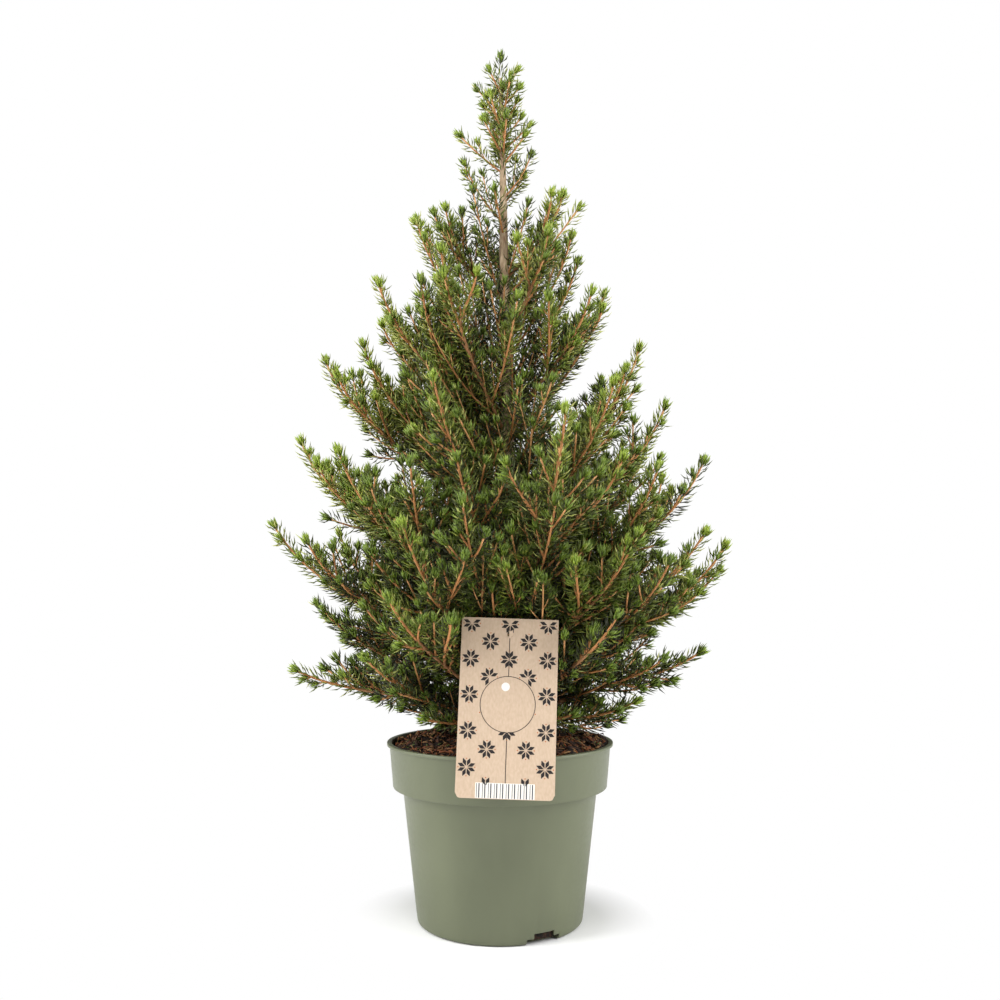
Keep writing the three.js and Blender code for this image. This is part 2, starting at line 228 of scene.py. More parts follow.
floor_material, floor_shader = plain_material("white_board", "#f2f2f2", 0.9)
floor_place = add_node(floor_material, "ShaderNodeTexCoord")
floor_away = add_node(floor_material, "ShaderNodeVectorMath", {"operation": "LENGTH"},
                      {"Vector": floor_place.outputs["Object"]})
floor_share = add_node(floor_material, "ShaderNodeMapRange",
                       {"From Min": FLOOR_LIT[0], "From Max": FLOOR_LIT[1]},
                       {"Value": floor_away.outputs["Value"]})
floor_glow = add_node(floor_material, "ShaderNodeEmission", {"Strength": 1.0})
floor_ray = add_node(floor_material, "ShaderNodeLightPath")
floor_seen = add_node(floor_material, "ShaderNodeMath", {"operation": "MULTIPLY"},
                      {0: floor_share.outputs["Result"], 1: floor_ray.outputs["Is Camera Ray"]})
floor_mix = add_node(floor_material, "ShaderNodeMixShader",
                     links={"Fac": floor_seen.outputs["Value"]})
floor_links = floor_material.node_tree.links
floor_links.new(floor_shader.outputs["BSDF"], floor_mix.inputs[1])
floor_links.new(floor_glow.outputs["Emission"], floor_mix.inputs[2])
floor_end = floor_material.node_tree.nodes["Material Output"]
floor_links.new(floor_mix.outputs["Shader"], floor_end.inputs["Surface"])

floor_bm = bmesh.new()
bmesh.ops.create_grid(floor_bm, x_segments=1, y_segments=1, size=6)
floor_mesh = finish_mesh("floor", floor_bm)
floor_mesh.materials.append(floor_material)
floor = bpy.data.objects.new("floor", floor_mesh)
floor.location.z = -0.0004
bpy.context.scene.collection.objects.link(floor)

# %% [markdown]
# ## The pot
#
# A nursery pot is one thin shell of moulded polypropylene: a wall that widens upwards, a stacking
# band that steps out under the rim, a narrow lip, and drain notches through its foot. A half outline
# spun round the axis gives the shell. The outline has a point wherever a notch begins or ends, so
# that a notch is made by deleting whole faces and bridging the wall's outside to its inside. A small
# bevel then rounds every moulded edge.

# %% Pot shell
_, pot_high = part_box("pot")
POT_TOP = pot_high.z / MM
LIP_RADIUS = pot_high.x / MM
BAND_TOP = LIP_RADIUS - 2.2
BAND_FOOT = LIP_RADIUS - 5.4
WALL_TOP = LIP_RADIUS - 13.4
FOOT_RADIUS = LIP_RADIUS - 26.5
LIP_FOOT = POT_TOP - 2.4
BAND_LOW = POT_TOP - 36
WALL = 1.6
FLOOR_TOP = 2.0
NOTCH_HEIGHT = 8.0
NOTCH_STEP = 4.0
NOTCH_DEPTH = 6.5
NOTCH_HALF = 7.5  # degrees
NOTCH_STEP_HALF = 12.5
NOTCH_TURNS = (30, 120, 300)
SPIN_STEPS = 144


def wall_radius(height):
    return FOOT_RADIUS + (WALL_TOP - FOOT_RADIUS) * height / BAND_LOW


def spun(outline, steps):
    """A closed shell turned round the pot's axis from its half outline in millimetres."""
    bm = bmesh.new()
    verts = [bm.verts.new((r * MM, 0, z * MM)) for r, z in outline]
    edges = [bm.edges.new(pair) for pair in zip(verts, verts[1:])]
    bmesh.ops.spin(bm, geom=verts + edges, axis=(0, 0, 1), cent=(0, 0, 0), dvec=(0, 0, 0),
                   angle=math.tau, steps=steps, use_merge=True, use_duplicate=False)
    bmesh.ops.remove_doubles(bm, verts=bm.verts, dist=1e-6)
    bmesh.ops.recalc_face_normals(bm, faces=bm.faces)
    return bm


def notch_offset(point):
    """Degrees from a face's middle to the middle of the nearest notch."""
    turn = math.degrees(math.atan2(point.y, point.x))
    return min(abs((turn - notch + 180) % 360 - 180) for notch in NOTCH_TURNS)


pot_outline = [
    (0, 0), (FOOT_RADIUS - NOTCH_DEPTH, 0), (FOOT_RADIUS - 1.5, 0),
    (FOOT_RADIUS, 1.5), (wall_radius(NOTCH_STEP), NOTCH_STEP),
    (wall_radius(NOTCH_HEIGHT), NOTCH_HEIGHT), (wall_radius(40), 40), (wall_radius(75), 75),
    (WALL_TOP, BAND_LOW), (BAND_FOOT, BAND_LOW), (BAND_TOP, LIP_FOOT), (LIP_RADIUS, LIP_FOOT),
    (LIP_RADIUS, POT_TOP), (BAND_TOP - WALL, POT_TOP), (BAND_FOOT - WALL, BAND_LOW + WALL),
    (WALL_TOP - WALL, BAND_LOW + WALL), (wall_radius(40) - WALL, 40),
    (wall_radius(NOTCH_HEIGHT) - WALL, NOTCH_HEIGHT), (wall_radius(NOTCH_STEP) - WALL, NOTCH_STEP),
    (FOOT_RADIUS - WALL, FLOOR_TOP), (FOOT_RADIUS - WALL - 2, FLOOR_TOP),
    (FOOT_RADIUS - NOTCH_DEPTH, FLOOR_TOP), (0, FLOOR_TOP),
]
pot_bm = spun(pot_outline, SPIN_STEPS)

# %% Drain notches
gone = []
for face in pot_bm.faces:
    middle = face.calc_center_median()
    offset = notch_offset(middle)
    near_edge = math.hypot(middle.x, middle.y) > (FOOT_RADIUS - NOTCH_DEPTH) * MM
    high = middle.z < NOTCH_HEIGHT * MM and offset < NOTCH_HALF
    low = middle.z < NOTCH_STEP * MM and offset < NOTCH_STEP_HALF
    if near_edge and (high or low):
        gone.append(face)
bmesh.ops.delete(pot_bm, geom=gone, context="FACES")
for notch in NOTCH_TURNS:
    rim = []
    for edge in pot_bm.edges:
        middle = (edge.verts[0].co + edge.verts[1].co) / 2
        turn = math.degrees(math.atan2(middle.y, middle.x))
        if edge.is_boundary and abs((turn - notch + 180) % 360 - 180) < 20:
            rim.append(edge)
    bmesh.ops.bridge_loops(pot_bm, edges=rim)
bmesh.ops.recalc_face_normals(pot_bm, faces=pot_bm.faces)
print(f"{len(gone)} faces cut for {len(NOTCH_TURNS)} drain notches")

# %% Moulded edges
moulded = [e for e in pot_bm.edges if len(e.link_faces) == 2
           and e.calc_face_angle(0) > math.radians(28)]
bmesh.ops.bevel(pot_bm, geom=moulded, offset=0.45 * MM, affect="EDGES", segments=2,
                profile=0.5, material=-1, clamp_overlap=True)
pot_mesh = finish_mesh("pot_shell", pot_bm, 50)
print(f"pot: {len(pot_mesh.polygons)} faces")

# %% [markdown]
# ### Moulded polypropylene
#
# Recycled polypropylene in sage green: satin, a little uneven in tone from the melt, with a grain
# finer than a millimetre. Typical values are an IOR of 1.49 and a roughness near 0.4. The grain is
# drawn at 0.7 mm, a little coarser than life, so that it shows.

# %% Pot finish
pot_plastic, pot_shader = plain_material("moulded_polypropylene", "#5d634d", 0.42, 1.49)
melt = object_noise(pot_plastic, 26, 3.0, (1, 1, 0.5))
two_colours(pot_plastic, pot_shader, melt, "#595e46", "#60654c", (0.3, 0.7))
scuff = object_noise(pot_plastic, 320, 5.0)
roughness = add_node(pot_plastic, "ShaderNodeMapRange", {"To Min": 0.34, "To Max": 0.52},
                     {"Value": scuff.outputs["Fac"]})
pot_plastic.node_tree.links.new(roughness.outputs["Result"], pot_shader.inputs["Roughness"])
grain = object_noise(pot_plastic, 1400, 2.0)
bump(pot_plastic, pot_shader, grain.outputs["Fac"], 0.00004, 0.6)
add_piece("pot_shell", pot_mesh, "pot", ["pot"], pot_plastic)

# %% [markdown]
# ## The soil
#
# Potting mix fills the pot to just under its lip, heaped round the stem. It is crumbly, so a spun
# shape with many fine rings is pushed up and down by noise of three sizes: hollows, crumbs and
# grit. The loose bits on it, bark chips and fibres, are too many to model one at a time, and are
# joined meshes made from arrays.


# %% Ground shape
_, soil_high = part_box("soil")
SOIL_TOP = soil_high.z / MM
SOIL_EDGE = SOIL_TOP - 4.5
SOIL_HEAP = 5.0  # how much higher it lies between the stem and the wall
SOIL_RADIUS = BAND_TOP - WALL - 0.6
MOUND = 14.0
SOIL_RINGS = 62
SOIL_STEPS = 220


def ground(x, y):
    """Height of the ground in millimetres at a place in millimetres."""
    share = min(1.0, max(0.0, (SOIL_RADIUS - math.hypot(x, y)) / (SOIL_RADIUS - MOUND)))
    base = SOIL_EDGE + (SOIL_TOP - SOIL_EDGE) * share ** 2
    base += SOIL_HEAP * math.sin(math.pi * min(1.0, math.hypot(x, y) / SOIL_RADIUS) ** 2)
    hollow = noise.noise((x / 24, y / 24, 1.7)) * 4.6
    crumb = noise.noise((x / 8.5, y / 8.5, 4.1)) * 3.4
    grit = noise.noise((x / 3.0, y / 3.0, 8.3)) * 1.5
    calm = min(1.0, max(0.15, (math.hypot(x, y) - MOUND) / 16))
    return base + (hollow + crumb) * calm + grit


soil_outline = [(0, 2.6), (FOOT_RADIUS - WALL - 0.5, 2.6), (WALL_TOP - WALL - 0.5, BAND_LOW + WALL),
                (BAND_FOOT - WALL - 0.5, BAND_LOW + WALL + 0.6)]
for ring in range(SOIL_RINGS + 1):
    soil_outline.append((SOIL_RADIUS * (1 - ring / SOIL_RINGS), SOIL_EDGE))
soil_bm = spun(soil_outline, SOIL_STEPS)
for vert in soil_bm.verts:
    if vert.co.z > (SOIL_EDGE - 1) * MM:
        vert.co.z = ground(vert.co.x / MM, vert.co.y / MM) * MM
soil_mesh = finish_mesh("soil_body", soil_bm, 80)
print(f"soil: {len(soil_mesh.polygons)} faces")

# %% Soil finish
# Damp peat and composted bark: nearly black brown, dull, with paler crumbs a few millimetres across.
potting_mix, soil_shader = plain_material("damp_potting_mix", "#20150c", 0.95, 1.4)
crumbs = object_noise(potting_mix, 330, 8.0)
two_colours(potting_mix, soil_shader, crumbs, "#100a05", "#3f281a", (0.4, 0.76))
grit_height = object_noise(potting_mix, 900, 6.0)
bump(potting_mix, soil_shader, grit_height.outputs["Fac"], 0.0012)
add_piece("soil_body", soil_mesh, "soil", ["soil"], potting_mix)

# %% [markdown]
# ## Small things from arrays
#
# Needles, fibres and chips are all slim closed bodies with a foot, a waist and a point. One function
# turns arrays of those three places into a joined mesh: each body has three corners round its waist,
# five in all, and six faces. Bending the waist off the straight line gives a needle its curve.


# %% Mesh from arrays
WAIST_TURNS = np.arange(3) * math.tau / 3


def unit(vectors):
    return vectors / np.maximum(np.linalg.norm(vectors, axis=-1, keepdims=True), 1e-12)


def mesh_from_arrays(name, points, faces, slots):
    """A mesh of triangles, each with its material slot."""
    mesh = bpy.data.meshes.new(name)
    mesh.vertices.add(len(points))
    mesh.vertices.foreach_set("co", points.astype(np.float32).ravel())
    mesh.loops.add(3 * len(faces))
    mesh.loops.foreach_set("vertex_index", faces.astype(np.int32).ravel())
    mesh.polygons.add(len(faces))
    mesh.polygons.foreach_set("loop_start", np.arange(0, 3 * len(faces), 3, dtype=np.int32))
    mesh.polygons.foreach_set("material_index", slots.astype(np.int32))
    mesh.polygons.foreach_set("use_smooth", np.ones(len(faces), bool))
    mesh.update(calc_edges=True)
    return mesh


def slivers(name, foot, waist, point, width, flatness, slots):
    """Slim bodies from foot through waist to point. width is half of the width at the waist."""
    axis = unit(point - foot)
    bend = waist - (foot + point) / 2
    spare = np.cross(axis, np.roll(axis, 1, axis=1) + 0.3)
    out = np.where(np.linalg.norm(bend, axis=1, keepdims=True) > 1e-6, bend, spare)
    out = unit(out - axis * np.sum(out * axis, axis=1, keepdims=True))
    across = np.cross(axis, out)
    ring = [waist + across * (width * np.cos(turn))[:, None]
            + out * (width * flatness * np.sin(turn))[:, None]
            for turn in WAIST_TURNS[:, None] + np.pi / 2 + np.zeros(len(width))]
    points = np.stack([foot, *ring, point], axis=1).reshape(-1, 3)
    one = np.array([(0, 2, 1), (0, 3, 2), (0, 1, 3), (4, 1, 2), (4, 2, 3), (4, 3, 1)])
    faces = (np.arange(len(foot))[:, None, None] * 5 + one).reshape(-1, 3)
    return mesh_from_arrays(name, points, faces, np.repeat(slots, 6))


# %% Chips, fibres and fallen needles on the soil
FIBRES = 1500
CHIPS = 620
FALLEN = 420
litter_draw = np.random.default_rng(SEED + 1)


def scattered(count, long, short, rise):
    """Feet, waists and points of bits that lie on the ground, in metres."""
    radius = np.sqrt(litter_draw.uniform(0.025, 0.95, count)) * SOIL_RADIUS
    turn = litter_draw.uniform(0, math.tau, count)
    middle = np.stack([radius * np.cos(turn), radius * np.sin(turn)], axis=1)
    heading = litter_draw.uniform(0, math.tau, count)
    half = litter_draw.uniform(short, long, count) / 2
    step = np.stack([np.cos(heading) * half, np.sin(heading) * half], axis=1)
    rows = []
    for plan, lift in ((middle - step, 0.1), (middle, 0.5), (middle + step, 0.1)):
        inside = np.minimum(1, (SOIL_RADIUS - 1.5) / np.maximum(np.linalg.norm(plan, axis=1), 1))
        plan = plan * inside[:, None]
        height = np.array([ground(x, y) for x, y in plan])
        height += lift + litter_draw.uniform(-0.2, rise, count)
        rows.append(np.column_stack([plan, height]) * MM)
    return rows


# half widths
fibre_width = litter_draw.uniform(0.4, 1.2, FIBRES) * MM
chip_width = litter_draw.uniform(1.2, 3.2, CHIPS) * MM
fallen_width = np.full(FALLEN, 0.55) * MM
fibre_slots = litter_draw.integers(0, 3, FIBRES)
chip_slots = litter_draw.integers(0, 3, CHIPS)
fallen_slots = litter_draw.integers(0, 2, FALLEN)
fibres = slivers("soil_fibres", *scattered(FIBRES, 17, 5, 1.4), fibre_width, 0.8, fibre_slots)
chips = slivers("soil_chips", *scattered(CHIPS, 9, 3.5, 0.6), chip_width, 0.45, chip_slots)
fallen = slivers("fallen_needles", *scattered(FALLEN, 11, 8, 0.9), fallen_width, 0.8, fallen_slots)

fibre_finishes = plain_finishes(
    ("bark_fibre_red", "#74401f", 0.9),
    ("bark_fibre_dark", "#3b2416", 0.9),
    ("straw_pale", "#8a6640", 0.85),
)
chip_finishes = plain_finishes(
    ("bark_chip_red", "#5b3220", 0.9),
    ("bark_chip_dark", "#2c1a10", 0.9),
    ("peat_lump", "#3d2a1b", 0.95),
)
fallen_finishes = plain_finishes(
    ("fallen_needle_brown", "#8a6136", 0.8),
    ("fallen_needle_green", "#5d6b33", 0.7),
)
add_piece("soil_fibres", fibres, "soil", [], *fibre_finishes)
add_piece("soil_chips", chips, "soil", [], *chip_finishes)
add_piece("fallen_needles", fallen, "needles", [], *fallen_finishes)

# %% [markdown]
# ## Bark
#
# The stem of a young spruce is grey-brown and rough: long shallow plates, small pegs where needles
# once sat, and a swollen collar under each bough. The relief is real shape here, not only shading.
# A cylinder with many rings is laid along the stem's own axis, which is read from the packed
# trunk, and each of its points moves in or out by the relief at its place.


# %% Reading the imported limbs
TRUNK_SIDES = 7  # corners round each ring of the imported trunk


def corners_of(node):
    """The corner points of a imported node, each once, in metres."""
    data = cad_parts[node].data
    points = np.empty(len(data.vertices) * 3, np.float32)
    data.vertices.foreach_get("co", points)
    return np.unique(np.round(points.reshape(-1, 3).astype(float), 6), axis=0)


trunk_corners = corners_of("trunk")
trunk_corners = trunk_corners[np.argsort(trunk_corners[:, 2])]
trunk_rings = trunk_corners[:len(trunk_corners) // TRUNK_SIDES * TRUNK_SIDES]
trunk_rings = trunk_rings.reshape(-1, TRUNK_SIDES, 3)
ring_middles = trunk_rings.mean(axis=1)
ring_radii = np.linalg.norm((trunk_rings - ring_middles[:, None])[:, :, :2], axis=2).mean(axis=1)
TRUNK_FOOT, TRUNK_TIP = ring_middles[0, 2], ring_middles[-1, 2]


def trunk_middle(z):
    """The stem's middle at a height."""
    x = np.interp(z, ring_middles[:, 2], ring_middles[:, 0])
    y = np.interp(z, ring_middles[:, 2], ring_middles[:, 1])
    return np.array((x, y, z))


def trunk_radius(z):
    return float(np.interp(z, ring_middles[:, 2], ring_radii))


class Limb:
    """The middle line and radii of a packed bough, fitted through its corner points."""

    def __init__(self, node):
        points = corners_of(node)
        start = trunk_middle(points[:, 2].min())
        heading = (points.mean(axis=0) - start) * (1, 1, 0)
        self.heading = unit(heading)
        reach = (points - start) @ self.heading
        self.line = [np.polyfit(reach, points[:, k], 2) for k in range(3)]
        self.near, self.far = reach.min(), reach.max()
        away = np.linalg.norm(points - self.at(reach), axis=1)
        self.foot_radius, self.end_radius = np.polyval(np.polyfit(reach, away, 1),
                                                       (self.near, self.far))

    def at(self, reach):
        return np.stack([np.polyval(line, reach) for line in self.line], axis=-1)

    def end(self):
        """The place and heading of the limb's outer end."""
        return self.at(self.far), unit(self.at(self.far) - self.at(self.far - 4 * MM))


limbs = {name[len("bough_"):]: Limb(name) for name in bough_names}
print(f"trunk {1000 * ring_radii[0]:.1f} mm at its flare, {len(limbs)} limbs read")


# %% Relief
def bark_relief(place, angle, girth, seed):
    """How far bark stands out, in metres, at a length along a limb and an angle round it."""
    along, round_it = place / MM, angle * girth / MM
    plates = noise.noise((round_it / 2.4, along / 13, seed))
    cracks = abs(noise.noise((round_it / 1.5, along / 6, seed + 5)))
    pegs = noise.noise((round_it / 1.0, along / 1.7, seed + 9))
    rough = min(1.0, girth / (5 * MM))
    return (0.42 * plates * rough - 0.5 * (0.25 - cracks) * rough + 0.16 * pegs) * MM


def bark_tube(name, sides, rings, place_at):
    """A closed cylinder whose every point is put in place by place_at(along, angle)."""
    bm = bmesh.new()
    bmesh.ops.create_cone(bm, cap_ends=True, segments=sides, radius1=1, radius2=1, depth=1)
    upright = [e for e in bm.edges if abs(e.verts[0].co.z - e.verts[1].co.z) > 0.5]
    bmesh.ops.subdivide_edges(bm, edges=upright, cuts=rings, use_grid_fill=True)
    for vert in bm.verts:
        vert.co = place_at(vert.co.z + 0.5, math.atan2(vert.co.y, vert.co.x))
    bmesh.ops.recalc_face_normals(bm, faces=bm.faces)
    return finish_mesh(name, bm, 60)


# %% Trunk
COLLAR = 1.5 * MM
COLLAR_SPREAD = 5.5 * MM
trunk_length = TRUNK_TIP - TRUNK_FOOT
collars = []
for limb in limbs.values():
    foot = limb.at(limb.near)
    collars.append((math.atan2(limb.heading[1], limb.heading[0]), foot[2] - 2.5 * MM))


def trunk_point(along, angle):
    z = TRUNK_FOOT + along * trunk_length
    radius = trunk_radius(z)
    swell = 0.0
    for turn, height in collars:
        gap = (angle - turn + math.pi) % math.tau - math.pi
        away = ((z - height) / COLLAR_SPREAD) ** 2 + (gap * radius / (0.7 * COLLAR_SPREAD)) ** 2
        swell += COLLAR * math.exp(-away)
    buttress = 0.8 * MM * math.sin(4 * angle + 1) * math.exp(-(z - TRUNK_FOOT) / (14 * MM))
    full = radius * 0.94 + swell + buttress + bark_relief(z, angle, radius, 3.0)
    middle = trunk_middle(z)
    if along == 0:
        middle[2] -= 3 * MM  # the foot goes a little into the ground
    return middle + np.array((math.cos(angle), math.sin(angle), 0)) * full


trunk_mesh = bark_tube("trunk_bark", 34, 300, trunk_point)

# %% [markdown]
# ### Bark finish
#
# Dry spruce bark is a dull grey-brown with redder cracks, paler where the light catches the plates,
# and more orange on young wood. Colour follows the same long plates as the relief, stretched up the
# stem, and a fine grain is left to a bump too small to model.

# %% Bark finishes
stem_bark, stem_shader = plain_material("spruce_bark_stem", "#8d7256", 0.88)
stem_plates = object_noise(stem_bark, 260, 7.0, (1, 1, 0.3))
two_colours(stem_bark, stem_shader, stem_plates, "#84654b", "#cbb495", (0.32, 0.66))
stem_grain = object_noise(stem_bark, 1500, 4.0, (1, 1, 0.5))
bump(stem_bark, stem_shader, stem_grain.outputs["Fac"], 0.00025)

bough_bark, bough_shader = plain_material("spruce_bark_bough", "#99704a", 0.85)
bough_plates = object_noise(bough_bark, 420, 6.0)
two_colours(bough_bark, bough_shader, bough_plates, "#7b4f2f", "#b98f66", (0.36, 0.66))
bough_grain = object_noise(bough_bark, 1800, 4.0)
bump(bough_bark, bough_shader, bough_grain.outputs["Fac"], 0.00022)

add_piece("trunk_bark", trunk_mesh, "bark", ["trunk"], stem_bark)

# %% Boughs
BOUGH_RINGS = 34
for index, (name, limb) in enumerate(sorted(limbs.items())):
    start = limb.near - 0.5 * trunk_radius(limb.at(limb.near)[2]) - 2 * MM

    def bough_point(along, angle, limb=limb, start=start, seed=index * 1.3):
        reach = start + (limb.far + 1 * MM - start) * along
        middle = limb.at(reach)
        heading = unit(limb.at(reach + 0.5 * MM) - limb.at(reach - 0.5 * MM))
        side = unit(np.cross(heading, UP))
        above = np.cross(side, heading)
        radius = np.interp(along, (0, 1), (limb.foot_radius, limb.end_radius))
        collar = 0.9 * MM * math.exp(-(reach - limb.near) / (5 * MM)) if reach > limb.near else 0.9 * MM
        full = radius + collar + bark_relief(reach, angle, radius, seed)
        return middle + (side * math.cos(angle) + above * math.sin(angle)) * full

    bough_mesh = bark_tube(f"bark_{name}", 14, BOUGH_RINGS, bough_point)
    add_piece(f"bark_{name}", bough_mesh, "bark", [f"bough_{name}"], bough_bark)
print(f"trunk {len(trunk_mesh.polygons)} faces, each bough {len(bough_mesh.polygons)}")

# %% [markdown]
# ## The card label
#
# A label die-cut from brown kraft board hangs at the front on a paper strap and leans on the pot's
# lip. It is printed with staggered eight-petal stars, a thin ring on a thread like a glass ball, and
# a white block of plain bars. Its words are left out. The board is a bowed grid given its thickness,
# and the print stands a few hundredths of a millimetre proud of it, as shapes of its own.

# %% Where the card hangs
CARD_WIDTH, CARD_LENGTH, CARD_THICKNESS = 74 * MM, 133 * MM, 0.6 * MM
CARD_CORNER = 4 * MM
CARD_LEAN = math.radians(6.5)
CARD_ROLL = math.radians(-2)
CARD_BOW = 1.1 * MM
CARD_LOW = 115.5 * MM
SLIT_HEIGHT = 121 * MM
SLIT_HALF = np.array((1.9, 2.3)) * MM

card_across = np.array((math.cos(CARD_ROLL), math.sin(CARD_ROLL) * math.sin(CARD_LEAN),
                        math.sin(CARD_ROLL) * math.cos(CARD_LEAN)))
card_up = np.array((-math.sin(CARD_ROLL), math.cos(CARD_ROLL) * math.sin(CARD_LEAN),
                    math.cos(CARD_ROLL) * math.cos(CARD_LEAN)))
card_front = np.array((0, -math.cos(CARD_LEAN), math.sin(CARD_LEAN)))
tag_low, tag_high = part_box("tag")
CARD_FRONT_REACH = tag_low.y + 0.45 * MM
card_foot = np.array((3.4 * MM, CARD_FRONT_REACH, CARD_LOW))


def card_point(u, v, lift):
    """A place on the card: u across from its middle, v up from its foot, lift forwards."""
    bow = CARD_BOW * (2 * u / CARD_WIDTH) ** 2
    return card_foot + card_across * u + card_up * v + card_front * (lift - bow)


# %% Board
CARD_COLUMNS, CARD_ROWS = 40, 68
card_bm = bmesh.new()
bmesh.ops.create_grid(card_bm, x_segments=CARD_COLUMNS, y_segments=CARD_ROWS, size=1)
flat = {}
for vert in card_bm.verts:
    u = vert.co.x * CARD_WIDTH / 2
    into_corner = max(0.0, abs(u) - (CARD_WIDTH / 2 - CARD_CORNER))
    low = CARD_CORNER - math.sqrt(max(0.0, CARD_CORNER**2 - into_corner**2))
    v = low + (CARD_LENGTH - low) * (vert.co.y + 1) / 2
    flat[vert] = (u, v)
slit = []
for face in card_bm.faces:
    u, v = np.mean([flat[vert] for vert in face.verts], axis=0)
    if abs(u) < SLIT_HALF[0] and abs(v - SLIT_HEIGHT) < SLIT_HALF[1]:
        slit.append(face)
for vert, (u, v) in flat.items():
    vert.co = card_point(u, v, CARD_THICKNESS / 2)
bmesh.ops.delete(card_bm, geom=slit, context="FACES")
card_bm.normal_update()
bmesh.ops.solidify(card_bm, geom=list(card_bm.faces), thickness=CARD_THICKNESS)
bmesh.ops.recalc_face_normals(card_bm, faces=card_bm.faces)
card_mesh = finish_mesh("card_board", card_bm, 40)

# %% Strap
# A strip of the same board goes through the slit and up round the bough behind.
STRAP_WIDTH, STRAP_THICKNESS = 4 * MM, 0.35 * MM
STRAP_STEPS = 48


def strap_middle(share):
    """The strap's closed middle line: a long loop from the slit to the bough."""
    turn = share * math.tau
    front = card_point(0, SLIT_HEIGHT, 1.6 * MM)
    back = np.array((tag_high.x - 25 * MM, tag_high.y - 4 * MM, tag_high.z - 3 * MM))
    middle = (front + back) / 2
    long = (back - front) / 2
    wide = unit(np.cross(long, UP)) * 3.6 * MM
    return middle - long * math.cos(turn) + wide * math.sin(turn) * abs(math.sin(turn)) ** 0.2


strap_bm = bmesh.new()
rings = []
for step in range(STRAP_STEPS):
    here = strap_middle(step / STRAP_STEPS)
    heading = unit(strap_middle((step + 0.5) / STRAP_STEPS) - strap_middle((step - 0.5) / STRAP_STEPS))
    rise = unit(UP - heading * (heading @ UP)) * STRAP_WIDTH / 2
    out = np.cross(heading, rise) / (STRAP_WIDTH / 2) * STRAP_THICKNESS / 2
    rings.append([strap_bm.verts.new(here + a * rise + b * out)
                  for a, b in ((-1, -1), (1, -1), (1, 1), (-1, 1))])
for ring, following in zip(rings, rings[1:] + rings[:1]):
    for k in range(4):
        strap_bm.faces.new((ring[k], ring[k - 3], following[k - 3], following[k]))
bmesh.ops.recalc_face_normals(strap_bm, faces=strap_bm.faces)
strap_mesh = finish_mesh("card_strap", strap_bm, 40)

# %% Kraft board finish
# Unbleached board: a warm light brown, matt, with fibres under a millimetre long that vary its tone.
kraft, kraft_shader = plain_material("kraft_board", "#ccae92", 0.82, 1.5)
kraft_fibres = object_noise(kraft, 700, 6.0, (1, 1, 0.45))
two_colours(kraft, kraft_shader, kraft_fibres, "#c0a88f", "#ccb59d", (0.3, 0.7))
kraft_grain = object_noise(kraft, 2400, 3.0)
bump(kraft, kraft_shader, kraft_grain.outputs["Fac"], 0.00005)
add_piece("card_board", card_mesh, "card", ["tag"], kraft)
add_piece("card_strap", strap_mesh, "card", ["tag"], kraft)

# %% Print
INK_HEIGHT = 0.07 * MM
PETALS = 8
PETAL = ((0.9, 0), (4.2, 1.4), (6.9, 0.15), (6.9, -0.15), (4.2, -1.4))  # mm
STAR_REACH = 6.3
COLUMN_PITCH = 14.6
ROW_PITCH = 13.3
TOP_ROW = 128.5
STAR_ROWS = 10
RING_MIDDLE, RING_RADIUS, RING_WIDTH = 68.5, 21.0, 0.5
THREAD_HALF = 0.28
BARE_ROW = 8  # has no star in its middle
BLOCK_HALF, BLOCK_TOP = 22.0, 11.4
INK, DOT, WHITE, SHADE = range(4)

ink_bm = bmesh.new()


def printed(outline, layer, raise_by=0.0):
    """Prints a shape: its outline in millimetres on the card, as a closed thin plate."""
    outline = [(u, min(v, CARD_LENGTH / MM - 0.3)) for u, v in outline]
    height = CARD_THICKNESS / 2 + INK_HEIGHT + raise_by * MM
    top = [ink_bm.verts.new(card_point(u * MM, v * MM, height)) for u, v in outline]
    low = [ink_bm.verts.new(card_point(u * MM, v * MM, height - 2 * INK_HEIGHT)) for u, v in outline]
    sides = [(low[i - 1], low[i], top[i], top[i - 1]) for i in range(len(top))]
    for corners in (top, low[::-1], *sides):
        ink_bm.faces.new(corners).material_index = layer


def in_ring(u, v):
    return math.hypot(u, v - RING_MIDDLE) < RING_RADIUS + 0.4


def round_shape(u, v, radius, steps):
    turns = [math.tau * k / steps for k in range(steps)]
    return [(u + radius * math.cos(t), v + radius * math.sin(t)) for t in turns]


def star(u, v):
    for petal in range(PETALS):
        turn = math.tau * (petal + 0.5) / PETALS
        cos, sin = math.cos(turn), math.sin(turn)
        shape = [(u + a * cos - b * sin, v + a * sin + b * cos) for a, b in PETAL]
        middle = np.mean(shape, axis=0)
        hidden = in_ring(*middle) or (middle[1] < BLOCK_TOP + 1 and abs(middle[0]) < BLOCK_HALF)
        if not hidden and middle[1] < CARD_LENGTH / MM - 1.5:
            printed(shape, INK)
    for quarter in range(4):
        turn = math.tau * quarter / 4
        dot = (u + STAR_REACH * math.cos(turn), v + STAR_REACH * math.sin(turn))
        if not in_ring(*dot) and BLOCK_TOP + 0.5 < dot[1] < CARD_LENGTH / MM - 0.6:
            printed(round_shape(*dot, 0.5, 6), DOT)


